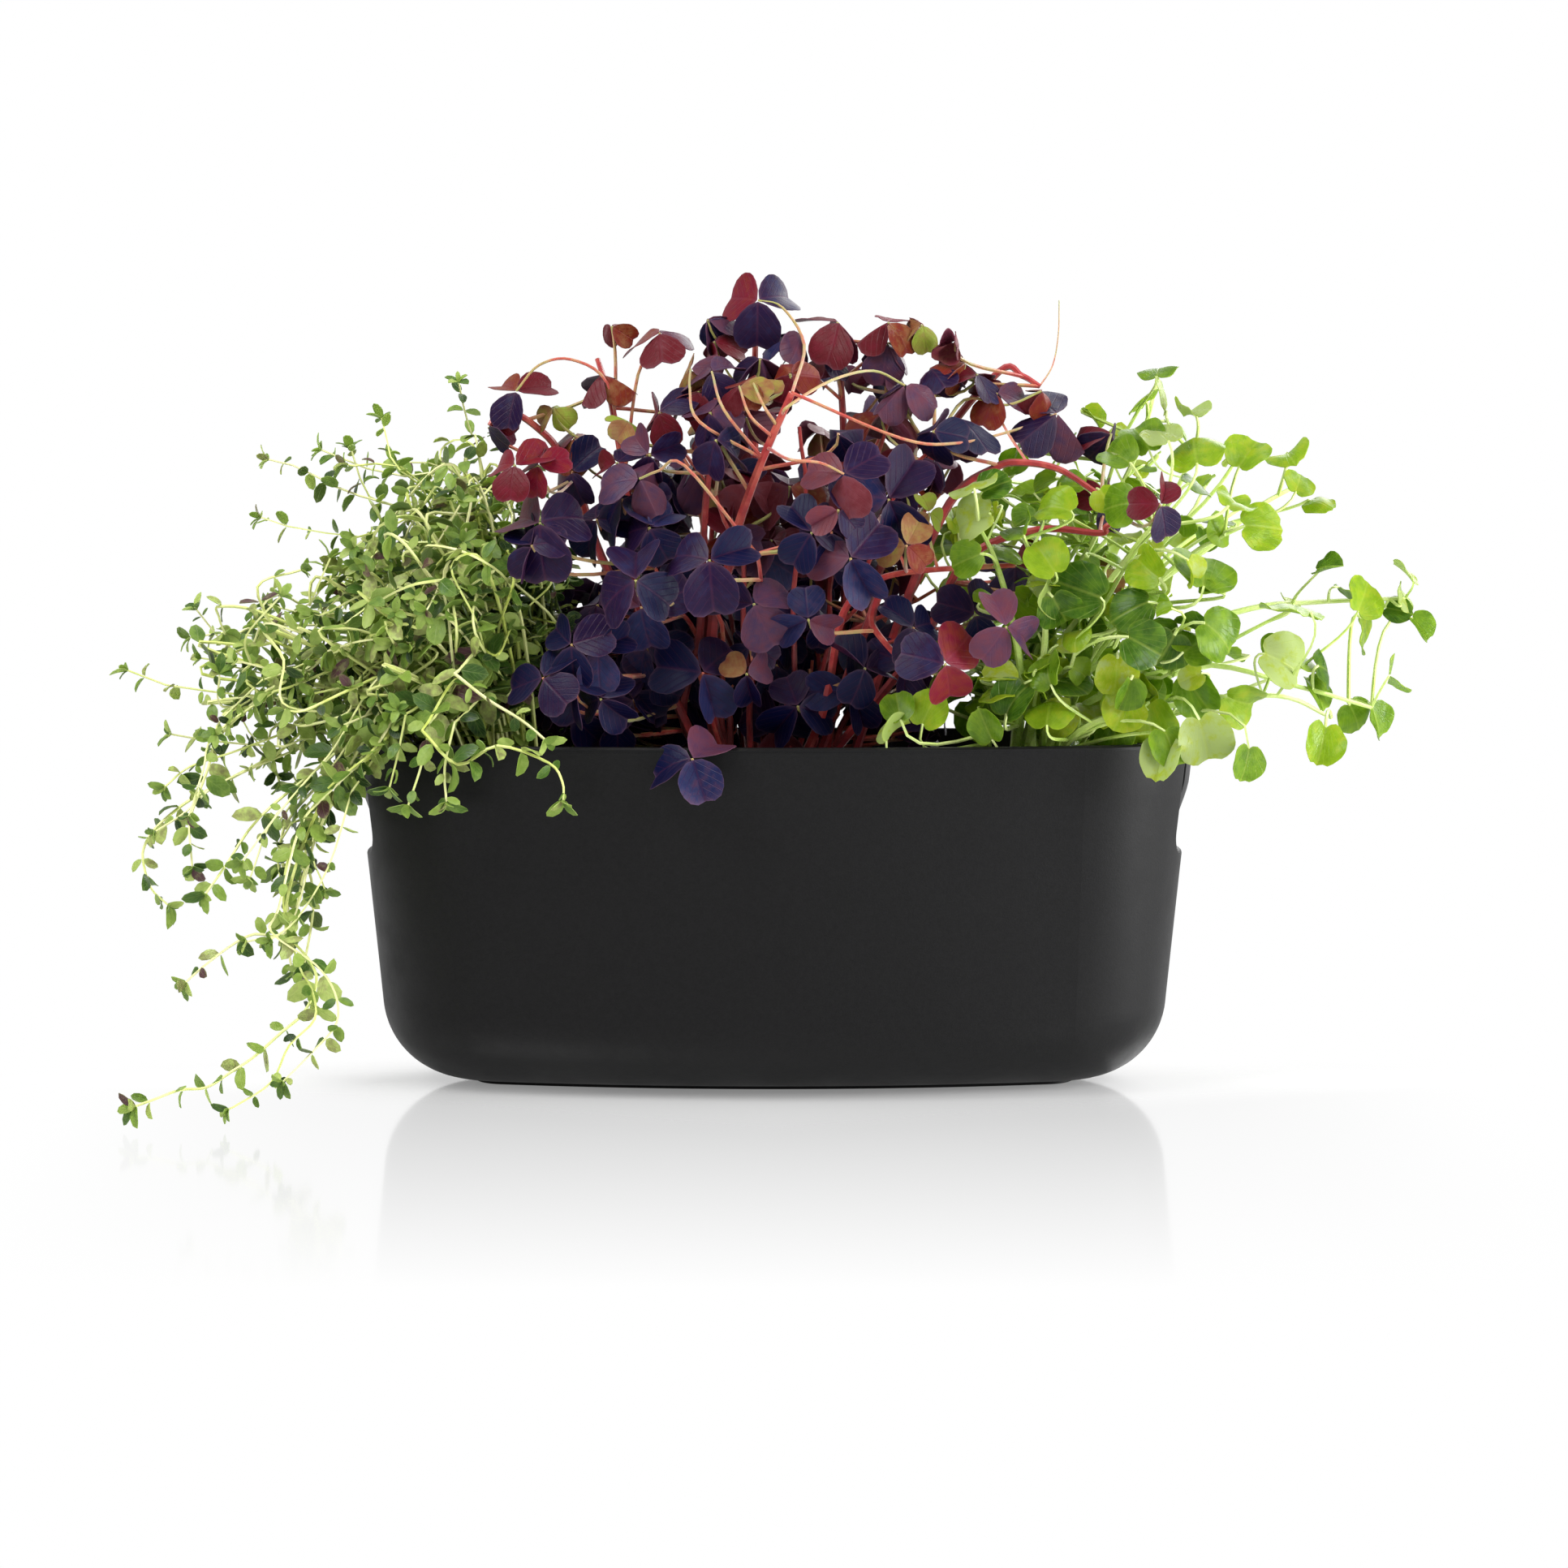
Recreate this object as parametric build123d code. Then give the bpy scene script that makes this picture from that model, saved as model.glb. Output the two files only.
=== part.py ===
from build123d import *
import math
import os

# A self-watering herb planter for a windowsill.
# An oblong water container stands on a soft non-slip ring and carries an insert that hangs in
# it by its rim. The insert has a flared grip at each end, which shows in a notch of the
# container, and three felt wicks that reach down into the water. Three herbs stand in the
# insert in thin nursery pots, on a felt mat that the wicks keep wet: thyme on the left, red
# wood sorrel in the middle and cress on the right.
# Millimetres. +X runs along the planter, to the right as seen from the front, -Y is the
# front, +Z is up, and the origin is under the middle of the container, on the table.

# Container
RIM_LENGTH = 330.0
RIM_WIDTH = 142.0
RIM_END_RADIUS = 60.0
HEIGHT = 136.0
DRAFT_ANGLE = 5.7
WALL = 3.0
FLOOR = 3.0
BELLY_RADIUS = 33.0
FOOT_HEIGHT = 2.2
FOOT_STEP = 2.5
FOOT_EDGE = 1.2
FOOT_RECESS = 1.0
RING_BAND = 4.0
RING_DROP = 0.6
RING_SEAT = 0.8
RING_FIT = 0.05
NOTCH_WIDTH = 44.0
NOTCH_DEPTH = 43.0
NOTCH_CORNER = 8.0
NOTCH_ROUND = 2.0

# Insert
FLANGE = 1.8
FLANGE_BEVEL = 0.7
FLANGE_SETBACK = 0.2
HANG_GAP = 1.0
INSERT_WALL = 2.2
INSERT_FLOOR = 2.2
INSERT_BELLY_RADIUS = 20.0
RESERVOIR_DEPTH = 29.0
GRIP_GAP = 0.6
GRIP_DROP = 37.0
GRIP_LIP = 14.0
SOCKET_WALL = 2.0
SOCKET_LENGTH = 9.0

# Wicks and mat
WICK_WIDTH = 12.0
WICK_THICKNESS = 5.0
WICK_HEAD = 18.0
WICK_FIT = 0.15
WICK_LIFT = 3.0
MAT_THICKNESS = 3.0
MAT_MARGIN = 0.8
MAT_FIT = 0.4

# Nursery pots and root balls
POT_GAP = 6.0
POT_END_GAP = 3.4
POT_TAPER = 12.0
POT_CORNER = 9.0
POT_HEIGHT = 82.0
POT_WALL = 1.0
POT_LIP = 1.8
POT_LIP_HEIGHT = 8.0
POT_CENTRE_HOLE = 14.0
POT_DRAIN_HOLE = 7.0
POT_DRAIN_PITCH = 36.0
SOIL_DROP = 9.0
SOIL_FIT = 0.2

# Herbs
LEAF_THICKNESS = 0.8
STEM_FOOT = 6.0
HERB_GAP = 3.0
GOLDEN_ANGLE = 137.5
DOME_EDGE_RATIO = 0.25
BEND_OUT_RATIO = 0.4
BEND_UP_RATIO = 0.62

THYME_SPRIGS = 13
THYME_STEM = 1.5
THYME_STEM_SPREAD = 21.0
THYME_RISE = 140.0
THYME_LEFT = 132.0
THYME_FRONT = 88.0
THYME_BACK = 84.0
THYME_LEAF_LENGTH = 12.0
THYME_LEAF_WIDTH = 7.0
THYME_PAIRS = 3
THYME_FIRST_PAIR_RATIO = 0.62
TRAIL_PAIRS = 5
TRAIL_FIRST_PAIR_RATIO = 0.45
LAST_PAIR_RATIO = 0.98
# Each trailing sprig: its foot on the compost, then the points that it hangs over, to its tip.
# They are measured from under the middle of the thyme's pot.
THYME_TRAILS = (
    ((-24, -14), (-60, -54, 156), (-106, -86, 126), (-132, -105, 62), (-140, -113, 9)),
    ((-14, -25), (-48, -66, 158), (-80, -98, 122), (-100, -111, 62), (-106, -115, 9)),
    ((-29, -2), (-80, -22, 158), (-126, -38, 132), (-146, -47, 84), (-150, -51, 42)),
    ((-2, -28), (-20, -78, 160), (-44, -100, 124), (-58, -108, 72)),
    ((-30, 17), (-80, 34, 160), (-134, 44, 138), (-154, 50, 104)),
)

SORREL_ROWS = 15
SORREL_EDGE_ANGLE = 14.0
SORREL_STEM = 4.0
SORREL_PETIOLE = 1.6
SORREL_STEM_SPREAD = 30.0
SORREL_RISE = 196.0
SORREL_FRONT = 88.0
SORREL_BACK = 76.0
SORREL_LEAFLET_LENGTH = 17.5
SORREL_LEAFLET_WIDTH = 19.0

CRESS_SPRIGS = 14
CRESS_STEM = 2.6
CRESS_STEM_SPREAD = 28.0
CRESS_RISE = 160.0
CRESS_RIGHT = 152.0
CRESS_FRONT = 90.0
CRESS_BACK = 84.0
CRESS_LEAF = 20.0
CRESS_PETIOLE = 7.0
CRESS_PETIOLE_WIDTH = 1.4
CRESS_LIFT_RATIO = 0.7
# Each leaf of a cress sprig: how far along the stem it stands, and its swing to the side in degrees
CRESS_LEAVES = ((0.99, 0), (0.92, 35), (0.85, -35))

# Places that follow from those sizes
SLOPE = math.tan(math.radians(DRAFT_ANGLE))
END_CENTRE = RIM_LENGTH / 2 - RIM_END_RADIUS
WALL_TOP = HEIGHT - FLANGE
RESERVOIR_FLOOR = FOOT_HEIGHT + FLOOR
INSERT_BASE = RESERVOIR_FLOOR + RESERVOIR_DEPTH
INSERT_FLOOR_TOP = INSERT_BASE + INSERT_FLOOR
INSERT_INSET = WALL + HANG_GAP
NOTCH_FLOOR = HEIGHT - NOTCH_DEPTH
POT_FLOOR = INSERT_FLOOR_TOP + MAT_THICKNESS
POT_TOP = POT_FLOOR + POT_HEIGHT
SOIL_TOP = POT_TOP - SOIL_DROP


def draft_inset(z):
    """How far the wall's outside stands in from the rim's outline at height z."""
    return (HEIGHT - z) * SLOPE


def fit_pots():
    """The width at which three square pots in a row just clear the insert's rounded ends.

    The middle of an end pot's cut corner lies at (1.5 width + along, 0.5 width + across) from
    the end's centre, and has to stay inside a circle there. That is solved for the width.
    """
    along = POT_GAP - POT_CORNER - END_CENTRE
    across = -POT_CORNER
    room = RIM_END_RADIUS - draft_inset(POT_TOP) - INSERT_INSET - INSERT_WALL - POT_END_GAP - POT_CORNER
    slant = 3 * along + across
    return (math.sqrt(slant**2 - 10 * (along**2 + across**2 - room**2)) - slant) / 5


POT_WIDTH = fit_pots()
POT_BASE_WIDTH = POT_WIDTH - 2 * POT_TAPER
POT_PITCH = POT_WIDTH + POT_GAP
POT_PLACES = {"thyme": -POT_PITCH, "sorrel": 0.0, "cress": POT_PITCH}
HERB_SIDE = (POT_PITCH - HERB_GAP) / 2


def belly_run(radius):
    """How far a floor's rounding of that radius reaches in from the corner of floor and wall."""
    return radius / math.tan(math.radians((90 + DRAFT_ANGLE) / 2))


def flat_arc_radius(inset):
    """The radius of the long sides' arcs in the rim's outline moved in by inset."""
    half_width = RIM_WIDTH / 2 - inset
    end_radius = RIM_END_RADIUS - inset
    return (END_CENTRE**2 + half_width**2 - end_radius**2) / (2 * (half_width - end_radius))


def oval(inset, z):
    """The rim's outline moved in by inset: two flat arcs and two end arcs, tangent to each other."""
    half_length = RIM_LENGTH / 2 - inset
    half_width = RIM_WIDTH / 2 - inset
    end_radius = RIM_END_RADIUS - inset
    side_radius = flat_arc_radius(inset)
    meet_x = side_radius * END_CENTRE / (side_radius - end_radius)
    meet_y = (side_radius - half_width) * end_radius / (side_radius - end_radius)
    edges = [
        ThreePointArc((-meet_x, meet_y), (0, half_width), (meet_x, meet_y)),
        ThreePointArc((meet_x, meet_y), (half_length, 0), (meet_x, -meet_y)),
        ThreePointArc((meet_x, -meet_y), (0, -half_width), (-meet_x, -meet_y)),
        ThreePointArc((-meet_x, -meet_y), (-half_length, 0), (-meet_x, meet_y)),
    ]
    return Pos(0, 0, z) * make_face(edges)


def tub(bottom, top, inset, belly_radius):
    """A solid that widens upwards at the draft angle, with its floor rounded into its wall."""
    solid = extrude(oval(draft_inset(bottom) + inset, bottom), amount=top - bottom, taper=-DRAFT_ANGLE)
    return fillet(solid.edges().group_by(Axis.Z)[0], belly_radius)


def end_radius_at(z, inset=0.0):
    """The radius of the rounded end at height z, about the end's centre, less inset."""
    return RIM_END_RADIUS - draft_inset(z) - inset


def foot_inset():
    """How far the foot lies inside the rim, seen from above."""
    return draft_inset(FOOT_HEIGHT) + belly_run(BELLY_RADIUS) + FOOT_STEP


def oval_band(inset, width, z):
    """A flat oval ring of one width whose outer edge lies an inset inside the rim."""
    return oval(inset, z) - oval(inset + width, z)


def make_foot():
    """The foot under the shell, with a groove for the non-slip ring and a shallow recess inside it."""
    inset = foot_inset()
    foot = extrude(oval(inset, RING_DROP), amount=FOOT_HEIGHT + FLOOR / 2 - RING_DROP)
    foot -= extrude(oval_band(inset + FOOT_EDGE, RING_BAND, RING_DROP), amount=RING_SEAT)
    return foot - extrude(oval(inset + 2 * FOOT_EDGE + RING_BAND, RING_DROP), amount=FOOT_RECESS)


def make_foot_ring():
    """The soft non-slip ring pressed into the foot's groove, on which the planter stands."""
    band = oval_band(foot_inset() + FOOT_EDGE + RING_FIT, RING_BAND - 2 * RING_FIT, 0)
    return extrude(band, amount=RING_DROP + RING_SEAT)


def make_container():
    """The water container: a drafted shell on a low foot, with a grip notch in each end."""
    body = tub(FOOT_HEIGHT, WALL_TOP, 0.0, BELLY_RADIUS) + make_foot()
    body -= tub(RESERVOIR_FLOOR, HEIGHT, WALL, BELLY_RADIUS - WALL)
    notch = Plane.YZ * Pos(0, NOTCH_FLOOR + NOTCH_DEPTH) * RectangleRounded(
        NOTCH_WIDTH, 2 * NOTCH_DEPTH, NOTCH_CORNER
    )
    body -= extrude(notch, amount=RIM_LENGTH, both=True)

    def on_notch_outside(edge):
        middle = edge @ 0.5
        beside = abs(middle.Y) < NOTCH_WIDTH / 2 + WALL
        inside = NOTCH_FLOOR - WALL < middle.Z < WALL_TOP - WALL
        out = math.hypot(abs(middle.X) - END_CENTRE, middle.Y)
        return beside and inside and abs(out - end_radius_at(middle.Z)) < WALL / 3

    return fillet(body.edges().filter_by(on_notch_outside), NOTCH_ROUND)


def make_grip(inset, half_width):
    """The right-hand grip as a solid: an S curve flares from the insert's wall out to the rim.

    The curve is turned about the centre of the rounded end, so the grip follows the end wall.
    """
    low = HEIGHT - GRIP_DROP
    high = HEIGHT - GRIP_LIP
    wall_run = Vector(SLOPE, 1).normalized()
    foot = Vector(end_radius_at(low, INSERT_INSET) - inset, low)
    brow = Vector(end_radius_at(high, FLANGE_SETBACK) - inset, high)
    lip = Vector(end_radius_at(HEIGHT, FLANGE_SETBACK) - inset, HEIGHT)
    back = end_radius_at(low, INSERT_INSET + INSERT_WALL) - inset
    edges = [
        Spline(foot, brow, tangents=[wall_run, wall_run]),
        Polyline(brow, lip, (back, HEIGHT), (back, low), foot),
    ]
    ring = revolve(Plane.XZ * make_face(edges), Axis.Z)
    middle = Pos(RIM_LENGTH / 2, 0, HEIGHT / 2) * Box(RIM_LENGTH, 2 * half_width, 2 * HEIGHT)
    return Pos(END_CENTRE, 0, 0) * (ring & middle)


def wick_section(fit):
    """The wick's cross-section, grown by fit on each side."""
    return Rectangle(WICK_WIDTH + 2 * fit, WICK_THICKNESS + 2 * fit)


def make_insert():
    """The insert: a drafted shell with a rim that sits on the container, two grips and wick sockets."""
    shell = tub(INSERT_BASE, WALL_TOP, INSERT_INSET, INSERT_BELLY_RADIUS)
    flange = extrude(oval(draft_inset(WALL_TOP) + FLANGE_SETBACK, WALL_TOP), amount=FLANGE)
    shell += chamfer(flange.edges().group_by(Axis.Z)[-1], FLANGE_BEVEL)
    grip = make_grip(0.0, NOTCH_WIDTH / 2 - GRIP_GAP)
    pocket = make_grip(INSERT_WALL, NOTCH_WIDTH / 2 - GRIP_GAP - INSERT_WALL)
    shell += grip + mirror(grip, Plane.YZ)
    inside = INSERT_INSET + INSERT_WALL
    shell -= tub(INSERT_FLOOR_TOP, HEIGHT + FLANGE, inside, INSERT_BELLY_RADIUS - INSERT_WALL)
    shell -= pocket + mirror(pocket, Plane.YZ)
    for x in POT_PLACES.values():
        socket = Pos(x, 0, INSERT_BASE - SOCKET_LENGTH)
        shell += socket * extrude(wick_section(WICK_FIT + SOCKET_WALL), SOCKET_LENGTH)
        shell -= socket * extrude(wick_section(WICK_FIT), SOCKET_LENGTH + INSERT_FLOOR)
    return shell


def make_wick(x):
    """A felt wick: a flat strip with a square head that lies on the insert's floor."""
    tip = RESERVOIR_FLOOR + WICK_LIFT
    strip = Pos(x, 0, tip) * extrude(wick_section(0), INSERT_FLOOR_TOP - tip)
    return strip + Pos(x, 0, INSERT_FLOOR_TOP) * extrude(Rectangle(WICK_HEAD, WICK_HEAD), MAT_THICKNESS)


def make_mat():
    """The felt mat on the insert's floor, with a hole round each wick's head."""
    inner = INSERT_INSET + INSERT_WALL
    flat = draft_inset(INSERT_FLOOR_TOP) + inner + belly_run(INSERT_BELLY_RADIUS - INSERT_WALL)
    mat = extrude(oval(flat + MAT_MARGIN, INSERT_FLOOR_TOP), amount=MAT_THICKNESS)
    hole = Rectangle(WICK_HEAD + 2 * MAT_FIT, WICK_HEAD + 2 * MAT_FIT)
    for x in POT_PLACES.values():
        mat -= Pos(x, 0, INSERT_FLOOR_TOP) * extrude(hole, MAT_THICKNESS)
    return mat


def pot_width(z):
    """The nursery pot's outside width at height z, below its lip."""
    return POT_BASE_WIDTH + (POT_WIDTH - 2 * POT_LIP - POT_BASE_WIDTH) * (z - POT_FLOOR) / POT_HEIGHT


def pot_frustum(low, high, inset):
    """A square block with cut corners that widens as the nursery pot does, smaller by inset."""
    def outline(z):
        width = pot_width(z) - 2 * inset
        return Pos(0, 0, z) * chamfer(Rectangle(width, width).vertices(), POT_CORNER - inset / 2)

    return loft([outline(low), outline(high)], ruled=True)


def make_pot(x):
    """A thin square nursery pot: tapered walls with cut corners, a stepped lip and drain holes."""
    lip_low = POT_TOP - POT_LIP_HEIGHT
    lip = Pos(0, 0, lip_low) * chamfer(Rectangle(POT_WIDTH, POT_WIDTH).vertices(), POT_CORNER + POT_LIP / 2)
    pot = pot_frustum(POT_FLOOR, POT_TOP, 0) + extrude(lip, POT_LIP_HEIGHT)
    pot -= pot_frustum(POT_FLOOR + POT_WALL, POT_TOP, POT_WALL)
    drains = Rectangle(POT_CENTRE_HOLE, POT_CENTRE_HOLE)
    corner_drain = Rectangle(POT_DRAIN_HOLE, POT_DRAIN_HOLE)
    drains += GridLocations(POT_DRAIN_PITCH, POT_DRAIN_PITCH, 2, 2) * corner_drain
    pot -= Pos(0, 0, POT_FLOOR) * extrude(drains, POT_WALL)
    return Pos(x, 0, 0) * pot


def make_root_ball(x):
    """The compost and roots that fill a nursery pot to below its lip."""
    return Pos(x, 0, 0) * pot_frustum(POT_FLOOR + POT_WALL, SOIL_TOP, POT_WALL + SOIL_FIT)


def dome(count):
    """Evenly spread places on a dome: a share of its reach, a turn and a share of its rise."""
    for index in range(count):
        height = 1 - (1 - DOME_EDGE_RATIO) * (index + 0.5) / count
        yield math.sqrt(1 - height**2), math.radians(index * GOLDEN_ANGLE), height


def fan(reach, share, turn):
    """A place in a plan that reaches a different way to the left, right, front and back."""
    left, right, front, back = reach
    x, y = share * math.cos(turn), share * math.sin(turn)
    return Vector(x * (right if x > 0 else left), y * (back if y > 0 else front))


def bend_stem(foot, tip):
    """Where a stem's upright start ends, and where it bends out to its tip."""
    heel = foot + Vector(0, 0, STEM_FOOT)
    run = tip - heel
    return heel, heel + Vector(run.X * BEND_OUT_RATIO, run.Y * BEND_OUT_RATIO, run.Z * BEND_UP_RATIO)


def stem_line(centre, spread, reach, rise, place):
    """A stem's foot on the compost, the top of its upright start, its bend and its tip."""
    share, turn, height = place
    foot = Vector(centre, 0, SOIL_TOP) + fan((spread,) * 4, share, turn)
    tip = Vector(centre, 0, SOIL_TOP + rise * height) + fan(reach, share, turn)
    return [foot, *bend_stem(foot, tip), tip]


def stalk(points, width):
    """A three-sided stem along straight runs, mitred where it bends."""
    path = Polyline(*points)
    section = Plane(origin=path @ 0, z_dir=path % 0) * RegularPolygon(width / 2, 3)
    return sweep(section, path=path, transition=Transition.RIGHT)


def leaf(outline, base, along, facing):
    """A flat leaf from its base, pointing along one direction, its upper side to another."""
    along = along.normalized()
    facing = (facing - along * facing.dot(along)).normalized()
    plate = extrude(make_face(Polyline(*outline, close=True)), LEAF_THICKNESS)
    return Plane(origin=base, x_dir=along, z_dir=facing).location * Pos(0, 0, -LEAF_THICKNESS / 2) * plate


def thyme_pair_outline():
    """Two pointed oval leaves that face each other across the stem."""
    length, half = THYME_LEAF_LENGTH, THYME_LEAF_WIDTH / 2
    waist = THYME_STEM / 2
    right = [(0, -waist), (0.5 * length, -half), (length, 0), (0.5 * length, half)]
    return right + [(-x, -y) for x, y in right]


def pair_stations(first, count):
    """How far along a sprig its leaf pairs stand, as shares of its length."""
    return [first + (LAST_PAIR_RATIO - first) * index / (count - 1) for index in range(count)]


def thyme_sprig(points, stations):
    """A wiry stem with leaves in pairs, each pair square to the one before."""
    path = Polyline(*points)
    pairs = []
    for index, station in enumerate(stations):
        at, ahead = path @ station, path % station
        side = ahead.cross(Vector(0, 0, 1) if abs(ahead.Z) < 0.9 else Vector(0, 1, 0)).normalized()
        across = side.rotate(Axis((0, 0, 0), ahead), 90 * index)
        pairs.append(leaf(thyme_pair_outline(), at, across, ahead))
    return stalk(points, THYME_STEM) + pairs


def make_thyme():
    """The upright and arching sprigs of thyme."""
    reach = (THYME_LEFT, HERB_SIDE - THYME_LEAF_LENGTH, THYME_FRONT, THYME_BACK)
    stations = pair_stations(THYME_FIRST_PAIR_RATIO, THYME_PAIRS)
    sprigs = []
    for place in dome(THYME_SPRIGS):
        points = stem_line(POT_PLACES["thyme"], THYME_STEM_SPREAD, reach, THYME_RISE, place)
        sprigs.append(thyme_sprig(points, stations))
    return sprigs


def make_thyme_trails():
    """The long sprigs of thyme that hang over the rim at the left."""
    stations = pair_stations(TRAIL_FIRST_PAIR_RATIO, TRAIL_PAIRS)
    sprigs = []
    pot = Vector(POT_PLACES["thyme"], 0, 0)
    for foot, *hang in THYME_TRAILS:
        start = [(*foot, SOIL_TOP), (*foot, SOIL_TOP + STEM_FOOT)]
        sprigs.append(thyme_sprig([pot + Vector(*point) for point in start + hang], stations))
    return sprigs


def sorrel_leaf(base, facing):
    """A three-part leaf: heart-shaped leaflets that meet at the top of the leaf's stalk."""
    length, width = SORREL_LEAFLET_LENGTH, SORREL_LEAFLET_WIDTH
    waist = SORREL_PETIOLE
    outline = [
        (-waist, 0),
        (0.7 * length, -width / 2),
        (length, -0.36 * width),
        (0.82 * length, 0),
        (length, 0.36 * width),
        (0.7 * length, width / 2),
    ]
    flat = facing.cross(Vector(1, 0, 0)).normalized()
    stalk_axis = Axis((0, 0, 0), facing)
    return [leaf(outline, base, flat.rotate(stalk_axis, turn), facing) for turn in (0, 120, 240)]


def sorrel_places():
    """Rows of leaves over a vault, two and one by turns: how far across, and the vault's turn."""
    for row in range(SORREL_ROWS):
        turn = math.radians(SORREL_EDGE_ANGLE + (180 - 2 * SORREL_EDGE_ANGLE) * row / (SORREL_ROWS - 1))
        for across in ((-1, 1) if row % 2 == 0 else (0,)):
            yield across, turn


def make_sorrel():
    """Red wood sorrel: thick stems that thin to a stalk with one three-part leaf each."""
    side = HERB_SIDE - SORREL_LEAFLET_LENGTH - SORREL_PETIOLE
    sprigs = []
    for across, turn in sorrel_places():
        out = -math.cos(turn)
        reach = SORREL_BACK if out > 0 else SORREL_FRONT
        foot = Vector(across * side, out * SORREL_STEM_SPREAD, SOIL_TOP)
        tip = Vector(across * side, out * reach, SOIL_TOP + SORREL_RISE * math.sin(turn))
        heel, bend = bend_stem(foot, tip)
        lean = (tip - bend).normalized()
        petiole = stalk([bend - lean * SORREL_STEM, tip], SORREL_PETIOLE)
        facing = Vector(0, out / reach, math.sin(turn) / SORREL_RISE).normalized()
        sprigs.append(stalk([foot, heel, bend], SORREL_STEM) + [petiole] + sorrel_leaf(tip, facing))
    return sprigs


def cress_leaf_outline():
    """A round leaf on its stalk, drawn with the stalk's base at the origin."""
    half = CRESS_PETIOLE_WIDTH / 2
    radius = CRESS_LEAF / 2
    centre = CRESS_PETIOLE + radius
    rim = [math.radians(turn) for turn in range(-144, 145, 72)]
    return [(0, half), (0, -half)] + [(centre + radius * math.cos(a), radius * math.sin(a)) for a in rim]


def make_cress():
    """Cress: juicy stems with round leaves to each side and one at the tip."""
    inner = HERB_SIDE - (CRESS_LEAF + CRESS_PETIOLE) / math.hypot(1, CRESS_LIFT_RATIO)
    reach = (inner, CRESS_RIGHT, CRESS_FRONT, CRESS_BACK)
    sprigs = []
    for place in dome(CRESS_SPRIGS):
        points = stem_line(POT_PLACES["cress"], CRESS_STEM_SPREAD, reach, CRESS_RISE, place)
        path = Polyline(*points)
        leaves = []
        for station, swing in CRESS_LEAVES:
            at, ahead = path @ station, path % station
            out = Vector(ahead.X, ahead.Y, 0).normalized()
            along = out.rotate(Axis.Z, swing) + Vector(0, 0, CRESS_LIFT_RATIO)
            leaves.append(leaf(cress_leaf_outline(), at, along, out + Vector(0, 0, 1)))
        sprigs.append(stalk(points, CRESS_STEM) + leaves)
    return sprigs


def write(name, shape):
    """Writes one piece, or a group of like pieces, to parts/NAME.step and prints its size."""
    if isinstance(shape, list):
        shape = Compound(children=[solid for piece in shape for solid in piece.solids()])
    export_step(shape, os.path.join("parts", name + ".step"))
    print(name, "solids", len(shape.solids()), "volume", round(shape.volume), shape.bounding_box())


os.makedirs("parts", exist_ok=True)
write("outer_container", make_container())
write("foot_ring", make_foot_ring())
write("insert_pot", make_insert())
write("capillary_mat", make_mat())
for side, place in zip(("left", "centre", "right"), POT_PLACES.values()):
    write("wick_" + side, make_wick(place))
for herb, place in POT_PLACES.items():
    write(herb + "_pot", make_pot(place))
    write(herb + "_root_ball", make_root_ball(place))
write("thyme_sprigs", make_thyme())
write("thyme_trailing_sprigs", make_thyme_trails())
write("sorrel_sprigs", make_sorrel())
write("cress_sprigs", make_cress())
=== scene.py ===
# %% [markdown]
# Indoor herb planter. A matt black self-watering box holds three nursery pots: thyme that trails
# over the left end, purple wood sorrel in the middle and a bright green cress on the right.
# The rigid shells come from the frame, already at their real size. The herbs are grown here, leaf by
# leaf, because a living plant is a heap of small sheets that no CAD solid shows well.

# %% Load the frame
import math
import bpy
import numpy as np
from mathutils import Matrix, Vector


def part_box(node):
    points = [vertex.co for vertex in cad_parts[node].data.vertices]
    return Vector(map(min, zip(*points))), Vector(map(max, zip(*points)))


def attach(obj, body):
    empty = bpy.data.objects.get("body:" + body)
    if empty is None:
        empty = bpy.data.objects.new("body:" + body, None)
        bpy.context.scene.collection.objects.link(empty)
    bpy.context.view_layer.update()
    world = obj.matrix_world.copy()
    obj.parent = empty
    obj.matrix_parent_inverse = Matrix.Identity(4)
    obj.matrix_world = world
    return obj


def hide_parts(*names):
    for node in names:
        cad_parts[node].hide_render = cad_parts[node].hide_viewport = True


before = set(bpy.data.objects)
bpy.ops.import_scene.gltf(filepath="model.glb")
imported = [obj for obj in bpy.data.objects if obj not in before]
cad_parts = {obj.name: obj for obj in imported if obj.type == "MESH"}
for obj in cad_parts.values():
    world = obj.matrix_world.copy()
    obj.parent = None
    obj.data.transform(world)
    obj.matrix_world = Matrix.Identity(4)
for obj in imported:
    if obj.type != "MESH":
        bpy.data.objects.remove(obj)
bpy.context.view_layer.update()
scene = bpy.context.scene
MM = 0.001

# %% [markdown]
# The camera. The photograph was taken from a little above, straight on to the long side. Knowing the
# real rim and foot of the planter, the camera's place, tilt and lens follow from where they show up.
# The helper `spot` turns a pixel of that picture and a depth into a point in space, so that a leaf can
# be put where it is seen. All plant sizes here are in millimetres; a mesh is scaled once, when it is made.

# %% Camera at the photograph's place
PHOTO_SIZE = 1932
CAMERA_PLACE = np.array((3.76, -1264.3, 211.6))
CAMERA_TILT = math.radians(4.255)
LENS = 73.76
SENSOR = 36.0
FOCAL = LENS / SENSOR * PHOTO_SIZE


def spot(px, py, depth):
    """The point, in mm, where the sight line through a photo pixel meets the upright plane y = depth."""
    across = (px - PHOTO_SIZE / 2) / FOCAL
    rise = (PHOTO_SIZE / 2 - py) / FOCAL
    cos_tilt, sin_tilt = math.cos(CAMERA_TILT), math.sin(CAMERA_TILT)
    sight = np.array((across, cos_tilt + rise * sin_tilt, rise * cos_tilt - sin_tilt))
    return CAMERA_PLACE + sight * ((depth - CAMERA_PLACE[1]) / sight[1])


def pixel_size(depth):
    """How many mm one photo pixel covers at a depth."""
    return (depth - CAMERA_PLACE[1]) / FOCAL


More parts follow.
